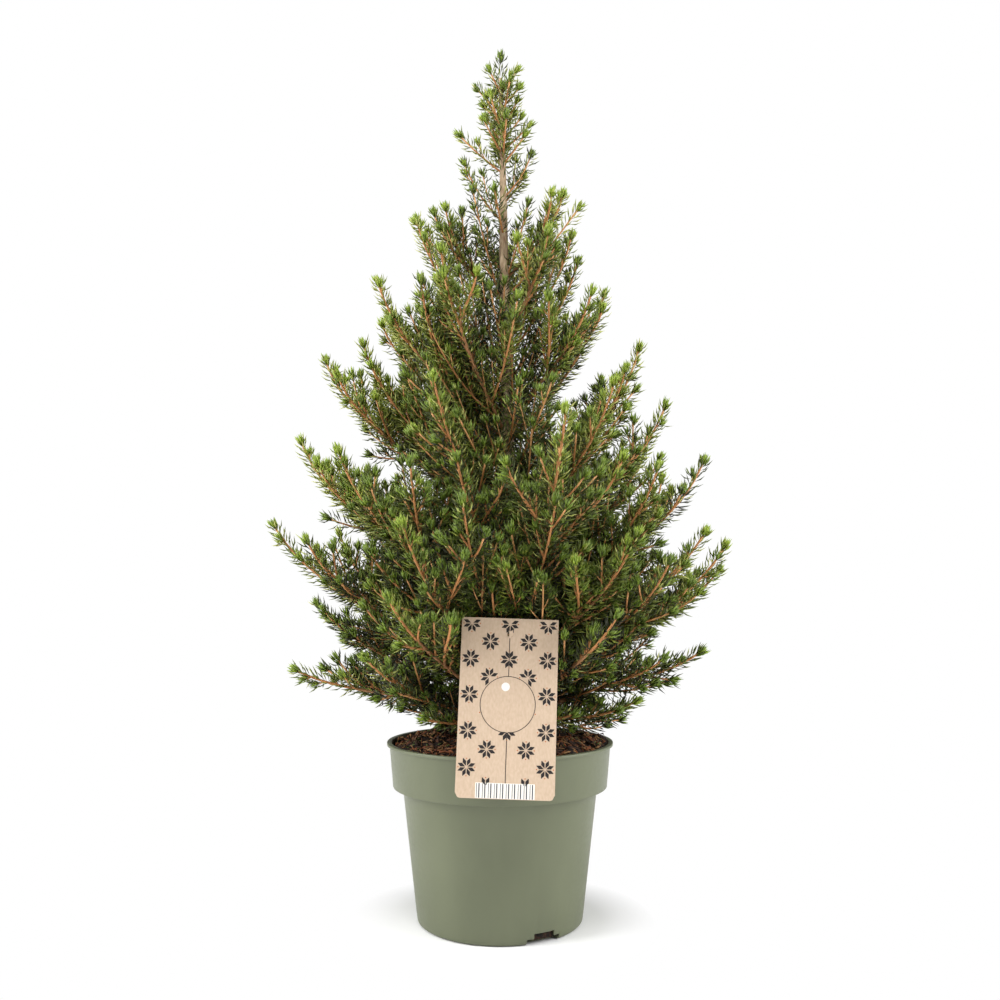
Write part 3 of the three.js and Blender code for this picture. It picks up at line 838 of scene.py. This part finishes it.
for row in range(STAR_ROWS):
    height = TOP_ROW - row * ROW_PITCH
    columns = (-2, 0, 2) if row % 2 == 0 else (-1, 1)
    for column in columns:
        if row != BARE_ROW or column != 0:
            star(column * COLUMN_PITCH, height)
for step in range(96):
    low_turn, high_turn = math.tau * step / 96, math.tau * (step + 1) / 96
    arc = [(r * math.cos(t), RING_MIDDLE + r * math.sin(t))
           for r, t in ((RING_RADIUS, low_turn), (RING_RADIUS, high_turn),
                        (RING_RADIUS - RING_WIDTH, high_turn), (RING_RADIUS - RING_WIDTH, low_turn))]
    printed(arc[::-1], INK)
for low, high in ((RING_MIDDLE + RING_RADIUS, SLIT_HEIGHT / MM - 3),
                  (BLOCK_TOP, RING_MIDDLE - RING_RADIUS)):
    steps = np.linspace(low, high, 9)
    for a, b in zip(steps, steps[1:]):
        printed([(-THREAD_HALF, a), (THREAD_HALF, a), (THREAD_HALF, b), (-THREAD_HALF, b)], INK)
printed(round_shape(-2, RING_MIDDLE + 13, 3.2, 20), WHITE)
for left in np.arange(-BLOCK_HALF, BLOCK_HALF, 4.4):
    printed([(left, 0.4), (left + 4.4, 0.4), (left + 4.4, BLOCK_TOP), (left, BLOCK_TOP)], WHITE)
    for start, width in ((0.7, 0.5), (2.3, 0.9)):
        bar = [(left + start, 0.6), (left + start + width, 0.6),
               (left + start + width, BLOCK_TOP - 0.4), (left + start, BLOCK_TOP - 0.4)]
        printed(bar, SHADE, 0.04)
bmesh.ops.recalc_face_normals(ink_bm, faces=ink_bm.faces)
ink_mesh = finish_mesh("card_print", ink_bm, 30)
inks = plain_finishes(
    ("black_ink", "#211c1c", 0.6),
    ("orange_ink", "#b5652f", 0.6),
    ("white_ink", "#f1ece4", 0.6),
    ("grey_ink", "#4a4a52", 0.6),
)
add_piece("card_print", ink_mesh, "card", ["tag"], *inks)
print(f"card {len(card_mesh.polygons)} faces, print {len(ink_mesh.polygons)}")

# %% [markdown]
# ## How the crown grows
#
# A spruce shoot grows on from its limb to a bud, and each shoot carries side shoots, which carry
# smaller ones. Each leaves its parent at 27 to 46 degrees, and more narrowly high in the crown. It
# is shorter the nearer it starts to its parent's tip, and turns up towards the light. The last few
# centimetres, this year's growth, carry no side shoots yet, only buds. Boughs spread their shoots
# like a fan, and the upright stem sets them all round.
#
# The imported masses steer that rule. The furthest corner of a mass is the tip of its main shoot, and
# the other outlying corners are the tips of its strong side shoots. Between the masses, more main
# shoots start straight on the stem. Everything smaller is drawn from a seeded generator, and is cut
# where it strays too far from all of these, or meets the card, the pot or the ground. That is what
# keeps the outline and the gaps.

# %% Shoots
@dataclass
class Shoot:
    points: np.ndarray  # along its middle, in metres
    foot_radius: float
    tip_radius: float
    order: int  # 0 main, 1 strong side shoot, 2 lateral, 3 the last twigs, 4 buds
    tier: int


def length_of(points):
    return float(np.linalg.norm(np.diff(points, axis=0), axis=1).sum())


def place_on(points, share):
    """The place and heading at a share of a shoot's length. Arrays of shares give arrays."""
    steps = np.linalg.norm(np.diff(points, axis=0), axis=1)
    at = np.concatenate([[0], np.cumsum(steps)]) / steps.sum()
    headings = unit(np.diff(points, axis=0))
    middles = (at[:-1] + at[1:]) / 2
    place = np.stack([np.interp(share, at, points[:, k]) for k in range(3)], axis=-1)
    heading = np.stack([np.interp(share, middles, headings[:, k]) for k in range(3)], axis=-1)
    return place, unit(heading)


def beside(heading):
    """The level direction beside a heading, and the one square to both that looks up."""
    upright = np.abs(heading[..., 2:3]) > 0.98
    level = np.where(upright, np.array((1.0, 0, 0)), np.cross(heading, UP))
    side = unit(level - heading * np.sum(level * heading, axis=-1, keepdims=True))
    return side, np.cross(side, heading)


def swept(start, start_heading, end, end_heading, count):
    """A smooth line between two places, leaving and arriving along the given headings."""
    reach = np.linalg.norm(end - start)
    t = np.linspace(0, 1, count)[:, None]
    line = (2 * t**3 - 3 * t**2 + 1) * start + (t**3 - 2 * t**2 + t) * start_heading * reach
    return line + (3 * t**2 - 2 * t**3) * end + (t**3 - t**2) * end_heading * reach


# %% Reading the masses
TIP_SPACING = 16 * MM
TIP_MARGIN = 7 * MM  # a shoot ends this far inside its mass, and its needles fill the rest


class Mass:
    """A packed mass: its corners, and the outlying ones that are tips."""

    def __init__(self, node):
        bm = bmesh.new()
        bm.from_mesh(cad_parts[node].data)
        bmesh.ops.remove_doubles(bm, verts=bm.verts, dist=1e-5)
        self.corners = np.array([v.co for v in bm.verts])
        self.near = [[e.other_vert(v).index for e in v.link_edges] for v in bm.verts]
        self.faces = [[v.index for v in face.verts] for face in bm.faces]
        bm.free()
        self.height = self.corners[:, 2].mean()

    def tips(self, foot):
        """Corners further from the foot than all their neighbours, furthest first."""
        away = np.linalg.norm(self.corners - foot, axis=1)
        peaks = [i for i, near in enumerate(self.near) if all(away[i] > away[j] for j in near)]
        peaks.sort(key=lambda i: -away[i])
        kept = []
        for i in peaks:
            apart = all(np.linalg.norm(self.corners[i] - tip) > TIP_SPACING for tip in kept)
            if apart and away[i] > 0.35 * away[peaks[0]]:
                kept.append(self.corners[i])
        return kept


masses = {node[len("needles_"):]: Mass(node) for node in mass_names}
all_corners, all_faces = [], []
for mass in masses.values():
    first = len(all_corners)
    all_corners.extend(Vector(corner) for corner in mass.corners)
    all_faces.extend([first + k for k in face] for face in mass.faces)
crown_tree = BVHTree.FromPolygons(all_corners, all_faces)


def outside_crown(place):
    """How far a place is outside the masses. Inside one of them it is negative."""
    near, normal, _, distance = crown_tree.find_nearest(Vector(place))
    return distance if (Vector(place) - near).dot(normal) > 0 else -distance


CROWN_SLOPE = 0.42  # radius of the crown's cone for each metre below its top
CROWN_TOP = cad_box[1][2]


def crown_depth(place):
    """0 at the stem and 1 at the outline of a cone round the crown."""
    away = np.linalg.norm(place[:2] - trunk_middle(place[2])[:2])
    return min(1.2, away / max(CROWN_SLOPE * (CROWN_TOP - place[2]), 0.02))


TIERS = 7
by_height = sorted(masses, key=lambda name: masses[name].height)
tier_of = {name: TIERS * rank // len(by_height) for rank, name in enumerate(by_height)}
tier_heights = [np.mean([masses[n].height for n in by_height if tier_of[n] == tier])
                for tier in range(TIERS)]
print("tiers at", [round(float(z), 3) for z in tier_heights])


# %% What shoots and needles keep clear of
def blocked(places, margin):
    """Which places are in the card, the pot's wall or the ground, or within the margin of them."""
    local = places - card_foot
    on_card = np.abs(local @ card_across) < CARD_WIDTH / 2 + margin
    on_card &= (local @ card_up > -margin) & (local @ card_up < CARD_LENGTH + margin)
    on_card &= local @ card_front > -margin - CARD_BOW
    radius = np.linalg.norm(places[..., :2], axis=-1)
    in_wall = (radius > (BAND_FOOT - WALL) * MM - margin) & (radius < LIP_RADIUS * MM + margin)
    in_wall &= places[..., 2] < POT_TOP * MM + margin
    return on_card | in_wall | (places[..., 2] < (SOIL_EDGE + SOIL_HEAP + 2) * MM + margin)


# %% [markdown]
# ## The growing rule
#
# The numbers below are what gives a spruce its habit. They are real lengths and angles, so that the
# rule can be read against a live branch.

# %% Rule
STEP = 8 * MM  # between the points of a shoot
SPACING = {0: (9 * MM, 15 * MM), 1: (9 * MM, 15 * MM), 2: (12 * MM, 20 * MM)}
UPRIGHT_HEIGHTS = (0.36, 0.52)  # over which the crown turns from spreading to upright and open
UPRIGHT = {"spacing": 2.3, "lean": 0.66, "lift": 0.4}  # what that does to the side shoots
BARE_TIP = {0: 44 * MM, 1: 36 * MM, 2: 20 * MM}  # this year's growth, without side shoots
REACH = {0: (18 * MM, 0.62), 1: (16 * MM, 0.6), 2: (9 * MM, 0.42)}  # fixed, and a share of what is left
LEAVING_ANGLE = (27, 46)
TURN_UP = (0.1, 0.36)
SHORTEST = 8 * MM
LONGEST = 92 * MM
CLOTHED = 32 * MM  # a lateral longer than this carries twigs of its own
STRAY = (30 * MM, 8 * MM)  # how far a shoot may leave the masses, at the stem and at the outline
RADII = {0: (1.6 * MM, 0.85 * MM), 1: (1.2 * MM, 0.8 * MM), 2: (0.95 * MM, 0.65 * MM),
         3: (0.6 * MM, 0.5 * MM), 4: (0.6 * MM, 0.5 * MM)}
BUD_SPACING = (11 * MM, 17 * MM)
BUD_LENGTH = (4 * MM, 8 * MM)

shoots = []
between = []  # points of the main shoots that grow between the masses
BETWEEN_REACH = 34 * MM  # how far their side shoots may stand from them


def far_from_wood(place):
    """How far a place is outside the masses and the reach of the shoots between them."""
    outside = outside_crown(place)
    if between:
        nearest = np.linalg.norm(np.array(between) - place, axis=1).min()
        outside = min(outside, nearest - BETWEEN_REACH)
    return outside


def shoot_from(parent, share, turn, lean, length, lift, order, draw):
    """A shoot that leaves its parent. turn is the angle round the parent, from its level side."""
    start, heading = place_on(parent.points, share)
    side, above = beside(heading)
    radial = side * math.cos(turn) + above * math.sin(turn)
    leaving = heading * math.cos(lean) + radial * math.sin(lean)
    count = max(3, round(length / STEP) + 1)
    t = np.linspace(0, 1, count)[:, None]
    sway = np.sin(t * math.pi) * draw.normal(0, 0.02, 3) * length
    points = start + leaving * t * length + UP * lift * length * t**2 + sway
    return Shoot(points, *RADII[order], order, parent.tier)


def kept_part(shoot):
    """Cuts a shoot where it strays or is blocked. None if too little of it is left."""
    stops = blocked(shoot.points, 2.5 * MM)
    far = len(shoot.points)
    for i, place in enumerate(shoot.points):
        stray = np.interp(crown_depth(place), (0.5, 1.0), STRAY)
        if stops[i] or far_from_wood(place) > stray:
            far = i
            break
    if far < 2 or length_of(shoot.points[:far]) < SHORTEST:
        return None
    shoot.points = shoot.points[:far]
    return shoot


def fan_turn(index, heading, tier, draw):
    """Which way round its parent a shoot leaves: mostly to its two sides, and some upwards. More
    hang down in the lowest tier."""
    if heading[2] > 0.85:
        return index * 2.4 + draw.uniform(-0.4, 0.4)
    chance = draw.uniform()
    spread = draw.normal(0, 0.4)
    if chance < 0.24:
        return math.pi / 2 + 1.3 * spread
    if chance < (0.5 if tier == 0 else 0.32):
        return -math.pi / 2 + spread
    return spread + 0.15 if index % 2 == 0 else math.pi + spread - 0.15


def clothe(parent, draw, first=0.0):
    """Grows side shoots on a parent, then twigs on those, and buds on its bare tip."""
    length = length_of(parent.points)
    bare = min(BARE_TIP[parent.order], 0.7 * length)
    at = first + draw.uniform(0, SPACING[parent.order][0])
    index = int(draw.integers(0, 2))
    order = max(2, parent.order + 1)
    while at < length - bare:
        left = length - bare - at
        fixed, part = REACH[parent.order]
        reach = min(LONGEST, fixed + part * left) * draw.uniform(0.6, 1.12)
        heading = place_on(parent.points, at / length)[1]
        turn = fan_turn(index, heading, parent.tier, draw)
        height = place_on(parent.points, at / length)[0][2]
        upright = np.interp(height, UPRIGHT_HEIGHTS, (0, 1))
        lean = math.radians(draw.uniform(*LEAVING_ANGLE)) * (1 + (UPRIGHT["lean"] - 1) * upright)
        lift = draw.uniform(*TURN_UP) + UPRIGHT["lift"] * upright
        young = kept_part(shoot_from(parent, at / length, turn, lean, reach, lift, order, draw))
        if young is not None:
            shoots.append(young)
            if order == 2 and length_of(young.points) > CLOTHED:
                clothe(young, draw, 6 * MM)
        at += draw.uniform(*SPACING[parent.order]) * (1 + (UPRIGHT["spacing"] - 1) * upright)
        index += 1
    if parent.order < 2:
        while at < length - 9 * MM:
            turn = fan_turn(index, np.zeros(3), parent.tier, draw)
            reach = draw.uniform(*BUD_LENGTH)
            shoots.append(shoot_from(parent, at / length, turn, 0.75, reach, 0.1, 4, draw))
            at += draw.uniform(*BUD_SPACING)
            index += 1


# %% Main and strong side shoots of each mass
TIP_HEIGHTS = (0.2, 0.42)  # low shoots stay level, and high ones turn up to the light
TIP_LIFTS = (0.2, 1.15)
FORK_ANGLE = 36


def turned_up(heading, tip):
    """The heading that a shoot has reached at its tip."""
    return unit(heading + UP * np.interp(tip[2], TIP_HEIGHTS, TIP_LIFTS))


def grow_mass(name, mass, draw):
    """The main shoot of a mass, its strong side shoots, and all that grows on them."""
    tier = tier_of[name]
    wood = np.empty((0, 3))
    if name in limbs:
        limb = limbs[name]
        foot, foot_heading = limb.end()
        wood = limb.at(np.linspace(limb.near + 0.25 * (limb.far - limb.near), limb.far, 6))[:-1]
    else:
        stem = np.array([trunk_middle(z)[:2] for z in mass.corners[:, 2]])
        close = np.linalg.norm(mass.corners[:, :2] - stem, axis=1)
        foot = trunk_middle(mass.corners[close < close.min() + 6 * MM, 2].mean() - 6 * MM)
        foot_heading = unit((mass.tips(foot)[0] - foot) * (1, 1, 0.7))
    tips = mass.tips(foot)
    chord = unit(tips[0] - foot)
    end_heading = turned_up(chord, tips[0])
    end = tips[0] - end_heading * TIP_MARGIN
    count = max(6, round(np.linalg.norm(end - foot) / STEP))
    line = swept(foot, foot_heading, end, end_heading, count)
    family = [Shoot(line, *RADII[0], 0, tier)]
    for tip in tips[1:]:
        shares = np.linspace(0.02, 0.75, 26)
        places, headings = place_on(line, shares)
        toward = unit(tip - places)
        angle = np.degrees(np.arccos(np.clip(np.sum(toward * headings, axis=1), -1, 1)))
        best = int(np.argmin(np.abs(angle - FORK_ANGLE)))
        end_heading = turned_up(toward[best], tip)
        leaving = unit(headings[best] * 0.4 + toward[best])
        end = tip - end_heading * TIP_MARGIN
        count = max(5, round(np.linalg.norm(end - places[best]) / STEP))
        family.append(Shoot(swept(places[best], leaving, end, end_heading, count),
                            *RADII[1], 1, tier))
    for shoot in family:
        stops = np.flatnonzero(blocked(shoot.points, 2.5 * MM))
        if len(stops):
            shoot.points = shoot.points[:max(3, stops[0])]
        shoots.append(shoot)
    whole = Shoot(np.vstack([wood, family[0].points]), *RADII[0], 0, tier)
    for shoot in [whole, *family[1:]]:
        clothe(shoot, draw)


for rank, name in enumerate(by_height):
    if name != "leader":
        grow_mass(name, masses[name], np.random.default_rng(SEED * 100 + rank))

# %% Shoots between the masses
# Lesser shoots start straight on the stem. Some finish the outline, and the rest close it all round:
# rows of turn in degrees, then reach, height of tip and height of foot in millimetres.
OUTLINE_SHOOTS = ((180, 127, 483, 330), (180, 77, 515, 380), (190, 80, 590, 460), (0, 57, 582, 470),
                  (5, 63, 560, 450), (350, 135, 424, 290), (355, 180, 285, 190))
# rings of shoots: how many, first turn, reach, height of tip and height of foot
RINGS = ((10, 14, 96, 172, 160), (8, 25, 132, 335, 205), (4, 60, 104, 435, 300))
TURN_JITTER = 9  # degrees
FEWEST_POINTS = 5
between_draw = np.random.default_rng(SEED * 100 + 93)


def grow_between(turn, reach, tip_height, foot_height):
    foot = trunk_middle(foot_height * MM)
    out = np.array((math.cos(turn), math.sin(turn), 0))
    tip = np.array((foot[0], foot[1], tip_height * MM)) + out * reach * MM
    chord = unit(tip - foot)
    count = max(6, round(np.linalg.norm(tip - foot) / STEP))
    line = swept(foot, unit(chord * (1, 1, 0.75)), tip, turned_up(chord, tip), count)
    stops = np.flatnonzero(blocked(line, 3 * MM))
    line = line[:stops[0]] if len(stops) else line
    if len(line) < FEWEST_POINTS:
        return
    between.extend(line)
    tier = int(np.argmin([abs(line[-1][2] - z) for z in tier_heights]))
    main = Shoot(line, *RADII[1], 1, tier)
    shoots.append(main)
    clothe(main, between_draw, 14 * MM)


for turn, *lengths in OUTLINE_SHOOTS:
    grow_between(math.radians(turn), *lengths)
for count, first_turn, reach, tip_height, foot_height in RINGS:
    for k in range(count):
        turn = math.radians(first_turn + 360 * k / count + between_draw.uniform(-TURN_JITTER, TURN_JITTER))
        grow_between(turn, reach * between_draw.uniform(0.82, 1.08),
                     tip_height + between_draw.uniform(-3, 3), foot_height)
print(f"{len(shoots)} shoots on the boughs, {sum(length_of(s.points) for s in shoots):.1f} m")

# %% [markdown]
# ## Leader and stem shoots
#
# The leader is the stem itself, so the shoots round it start on the stem, a little below each tip.
# The stem between the boughs carries shoots too, which fill the middle of the crown.

# %% Leader
leader_mass = masses["leader"]
leader_draw = np.random.default_rng(SEED * 100 + 90)
top_tier = TIERS - 1
leader_low = leader_mass.corners[:, 2].min()
leader_line = np.array([trunk_middle(z) for z in np.arange(leader_low, TRUNK_TIP + 1e-6, STEP)])
leader_end = np.array((leader_line[-1][0], leader_line[-1][1], CROWN_TOP - 4 * MM))
leader_line = np.vstack([leader_line, leader_end])
leader = Shoot(leader_line, trunk_radius(leader_low), 1.1 * MM, 0, top_tier)
for tip in leader_mass.tips(leader_line[0])[1:]:
    away = np.linalg.norm(tip[:2] - trunk_middle(tip[2])[:2])
    if away > 9 * MM:
        start = trunk_middle(max(tip[2] - 1.6 * away, leader_low - 20 * MM))
        toward = unit(tip - start)
        arc = swept(start, unit(toward * (1, 1, 0.6)), tip - toward * TIP_MARGIN,
                    unit(toward + UP * 0.5), max(5, round(np.linalg.norm(tip - start) / STEP)))
        young = Shoot(arc, *RADII[2], 2, top_tier)
        shoots.append(young)
        clothe(young, leader_draw, 12 * MM)

# %% Shoots on the stem
STEM_SPACING = (4 * MM, 7 * MM)
STEM_REACH = (10 * MM, 115 * MM)  # at the top of the crown, and as far as they get lower down
STEM_SLOPE = 0.36
STEM_THINNING = ((0.4, 0.48, 0.61, 0.65), (1, 5.0, 5.0, 0.7))  # wider spacing where the stem shows
stem_draw = np.random.default_rng(SEED * 100 + 91)
height = TRUNK_FOOT + 30 * MM
turn = 0.0
while height < TRUNK_TIP - 8 * MM:
    reach = min(STEM_REACH[1], STEM_REACH[0] + STEM_SLOPE * (CROWN_TOP - height))
    reach *= stem_draw.uniform(0.45, 1.1)
    turn += 2.4 + stem_draw.uniform(-0.5, 0.5)
    lean = math.radians(stem_draw.uniform(34, 60))
    heading = np.array((math.cos(turn), math.sin(turn), 0)) * math.sin(lean) + UP * math.cos(lean)
    t = np.linspace(0, 1, max(4, round(reach / STEP) + 1))[:, None]
    points = trunk_middle(height) + heading * t * reach + UP * 0.14 * reach * t**2
    tier = int(np.argmin([abs(height - z) for z in tier_heights]))
    young = kept_part(Shoot(points, *RADII[2], 2, tier))
    if young is not None:
        shoots.append(young)
        if length_of(young.points) > CLOTHED:
            clothe(young, stem_draw, 12 * MM)
    height += stem_draw.uniform(*STEM_SPACING) * np.interp(height, *STEM_THINNING)
print(f"{len(shoots)} shoots in all, {sum(length_of(s.points) for s in shoots):.1f} m")

# %% [markdown]
# ## Twigs
#
# A shoot's own wood is slim, round and orange-brown, greyer where it is older. Five flat sides are
# enough at this size. The tubes are joined from arrays, one piece for each tier of the crown, and
# each stretch of a tube takes the finish that its thickness calls for.

# %% Twig tubes
TWIG_SIDES = 5
twig_finishes = plain_finishes(
    ("young_wood", "#cb945d", 0.6),
    ("ripe_wood", "#b77d4a", 0.66),
    ("old_wood", "#966a44", 0.8),
)


def tube_arrays(shoot, first):
    """Points, faces and slots of one closed tube, with its corners numbered from first."""
    points = shoot.points
    count = len(points)
    side, above = beside(unit(np.gradient(points, axis=0)))
    radii = np.linspace(shoot.foot_radius, shoot.tip_radius, count)
    sides = TWIG_SIDES if shoot.order < 3 else 4
    turns = np.arange(sides) * math.tau / sides
    ring = side[:, None] * np.cos(turns)[:, None] + above[:, None] * np.sin(turns)[:, None]
    rings = points[:, None] + ring * radii[:, None, None]
    corners = np.vstack([rings.reshape(-1, 3), points[:1], points[-1:]])
    here = np.arange(sides)
    following = (here + 1) % sides
    low = np.arange(count - 1)[:, None] * sides
    wall = np.concatenate([
        np.stack([low + here, low + following + sides, low + following], axis=-1),
        np.stack([low + here, low + here + sides, low + following + sides], axis=-1)], axis=1)
    last = (count - 1) * sides
    foot_cap = np.stack([np.full(sides, count * sides), here, following], axis=1)
    tip_cap = np.stack([np.full(sides, count * sides + 1), last + following, last + here], axis=1)
    ring_slot = np.where(radii > 1.15 * MM, 2, np.where(radii > 0.75 * MM, 1, 0))
    slots = np.concatenate([np.repeat(ring_slot[:-1], 2 * sides), np.full(sides, ring_slot[0]),
                            np.full(sides, ring_slot[-1])])
    return corners, np.vstack([wall.reshape(-1, 3), foot_cap, tip_cap]) + first, slots


for tier in range(TIERS):
    corners, faces, slots, first = [], [], [], 0
    for shoot in shoots:
        if shoot.tier == tier:
            some = tube_arrays(shoot, first)
            corners.append(some[0])
            faces.append(some[1])
            slots.append(some[2])
            first += len(some[0])
    name = f"twigs_{tier + 1}"
    mesh = mesh_from_arrays(name, np.vstack(corners), np.vstack(faces), np.concatenate(slots))
    replaced = [f"needles_{n}" for n in by_height if tier_of[n] == tier]
    add_piece(name, mesh, "bark", replaced, *twig_finishes)
    print(f"{name}: {len(mesh.polygons)} faces")

# %% [markdown]
# ## Needles
#
# A spruce needle is 9 to 14 mm long, stiff, about a millimetre wide and bent forward, and is drawn
# a little wider so that it reads. Needles stand all
# round a shoot on a spiral, at 137.5 degrees from one to the next. Under a level shoot they part to
# either side. They lie closer at its tip, where this year's crowd into a tuft.
#
# Colour is dealt out by spray: each shoot draws its own green, darker deep in the crown and fresher
# towards the top, and the tufts have greens of their own. The darkening deep in the crown is partly the
# older needles' own colour and partly painted shade. Nothing may grow through the card, the pot or the
# ground, so needles that would are dropped before their mesh is made.

# %% Needle finishes
# The darker greens go to sprays deep in the crown: partly the older needles' own colour, partly painted
# shade.
needle_finishes = plain_finishes(
    ("needle_deep", "#202308", 0.65),
    ("needle_dark", "#39410e", 0.6),
    ("needle_green", "#5c6819", 0.58),
    ("needle_light", "#788127", 0.56),
    ("needle_waxy_and_highlight", "#a2a558", 0.55),
)
tuft_finishes = plain_finishes(
    ("tuft_green", "#5d721f", 0.52),
    ("tuft_fresh", "#728822", 0.52),
    ("tuft_bright", "#8a9e2e", 0.52),
)

# %% Laying needles on shoots
NEEDLE_LENGTH = (13.2 * MM, 11 * MM)  # low in the crown, and at its top
NEEDLE_HEIGHTS = (0.33, 0.72)
NEEDLE_WIDTH = 0.8 * MM  # half of its width
NEEDLES_PER_M = 980
WAXY_AND_HIGHLIGHT_SHARE = 0.1  # share drawn in the pale waxy green: partly their paler, waxy undersides, partly painted highlight
GOLDEN = math.radians(137.5)
WAIST_SHARE = 0.55


def lay(shoot, share, turn, length, angles, draw):
    """Feet, waists and points of needles at shares of a shoot, bent from one angle to another."""
    place, heading = place_on(shoot.points, share)
    side, above = beside(heading)
    radial = side * np.sin(turn)[:, None] + above * np.cos(turn)[:, None]
    radius = np.interp(share, (0, 1), (shoot.foot_radius, shoot.tip_radius))[:, None]
    first, last = angles
    lower = heading * np.cos(first)[:, None] + radial * np.sin(first)[:, None]
    upper = heading * np.cos(last)[:, None] + radial * np.sin(last)[:, None]
    upper = unit(upper + UP * 0.1 + draw.normal(0, 0.06, upper.shape))
    foot = place + radial * radius * 0.7
    waist = foot + lower * (length * WAIST_SHARE)[:, None]
    return foot, waist, waist + upper * (length * (1 - WAIST_SHARE))[:, None]


def needle_size(shoot):
    return np.interp(shoot.points[0][2], NEEDLE_HEIGHTS, NEEDLE_LENGTH)


def shoot_needles(shoot, slot, draw):
    """The needles along one shoot."""
    length = length_of(shoot.points)
    count = int(length * NEEDLES_PER_M)
    share = (np.arange(count) + draw.uniform(0, 1, count)) / max(count, 1)
    if shoot.order == 0:
        share = share[draw.uniform(0, 1, count) < 0.35 + 1.1 * share]
    count = len(share)
    turn = np.arange(count) * GOLDEN + draw.normal(0, 0.3, count)
    turn = (turn + np.pi) % math.tau - np.pi
    level = 1 - abs(place_on(shoot.points, 0.5)[1][2])
    turn = turn * (1 - 0.2 * level)
    taper = np.interp(share, (0, 0.15, 0.8, 1), (0.75, 1.0, 1.0, 0.85))
    size = needle_size(shoot) * taper * draw.uniform(0.82, 1.1, count)
    if shoot.order > 2:
        size *= 0.9
    close = np.interp(share, (0, 0.6, 1), (0, 0, 20))
    first = np.radians(draw.normal(64, 5, count) - close)
    last = np.radians(draw.normal(48, 6, count) - close)
    # Three needles in ten are drawn one green lighter, and one in ten outside the deepest sprays in the
    # pale waxy green: partly the needles' waxy bloom, partly painted highlight.
    slots = np.clip(slot + (draw.uniform(0, 1, count) < 0.3), 0, 4)
    slots = np.where((slot > 0) & (draw.uniform(0, 1, count) < WAXY_AND_HIGHLIGHT_SHARE), 4, slots)
    return (*lay(shoot, share, turn, size, (first, last), draw), slots)


TUFT_NEEDLES = {0: 34, 1: 32, 2: 22, 3: 12, 4: 12}
TUFT_LENGTH = 5 * MM


def tip_tuft(shoot, slot, draw):
    """The tuft of young needles at a shoot's tip."""
    count = TUFT_NEEDLES[shoot.order]
    share = 1 - draw.uniform(0, TUFT_LENGTH, count) / length_of(shoot.points)
    share = np.clip(share, 0, 1)
    turn = np.arange(count) * GOLDEN
    size = 0.78 * needle_size(shoot) * draw.uniform(0.75, 1.05, count)
    if shoot.order < 3:
        first = np.radians(draw.uniform(4, 32, count))
    else:
        first = np.radians(draw.uniform(8, 42, count))
    slots = np.clip(slot + draw.integers(-1, 2, count), 0, 2)
    return (*lay(shoot, share, turn, size, (first, first * 0.5), draw), slots)


# %% Needles of the crown
DEPTH_AGE_AND_SHADE = (1.95, 1.7)  # how much lighter the outline is than the stem, partly for fresher needles and partly as painted shade deep in the crown, and how late it turns
FRESH_HEIGHTS, FRESHER = (0.2, 0.7), (0.0, 0.8)
SHADE_SPREAD = 0.6
needle_draw = np.random.default_rng(SEED * 100 + 92)
needle_rows = {tier: [] for tier in range(TIERS)}
tuft_rows = {tier: [] for tier in range(TIERS)}
for shoot in [*shoots, leader]:
    tip = shoot.points[-1]
    depth = crown_depth(tip)
    fresh = np.interp(tip[2], FRESH_HEIGHTS, FRESHER)
    # Darker greens deep in the crown, for needles and tufts alike: partly older needles, partly painted
    # shade.
    age_and_shade = DEPTH_AGE_AND_SHADE[0] * depth**DEPTH_AGE_AND_SHADE[1] + fresh + needle_draw.normal(0, SHADE_SPREAD)
    needle_slot = int(np.clip(round(age_and_shade), 0, 3))
    tuft_slot = int(np.clip(round(age_and_shade - 1.2 + (0.6 if shoot.order < 2 else 0)), 0, 2))
    needle_rows[shoot.tier].append(shoot_needles(shoot, needle_slot, needle_draw))
    tuft_rows[shoot.tier].append(tip_tuft(shoot, tuft_slot, needle_draw))

needle_total = 0
for kind, some_rows, finishes in (("needles", needle_rows, needle_finishes),
                                  ("tufts", tuft_rows, tuft_finishes)):
    for tier in range(TIERS):
        foot, waist, point, slots = [np.concatenate(part) for part in zip(*some_rows[tier])]
        keep = ~(blocked(foot, 0) | blocked(waist, 0) | blocked(point, 0.4 * MM))
        foot, waist, point, slots = foot[keep], waist[keep], point[keep], slots[keep]
        width = NEEDLE_WIDTH * needle_draw.uniform(0.85, 1.15, len(foot))
        name = f"{kind}_{tier + 1}"
        mesh = slivers(name, foot, waist, point, width, 0.75, slots)
        replaced = [f"needles_{n}" for n in by_height if tier_of[n] == tier]
        add_piece(name, mesh, "needles", replaced, *finishes)
        needle_total += len(foot)
        print(f"{name}: {len(foot)} needles, {len(mesh.polygons)} faces")
print(f"{needle_total} needles")
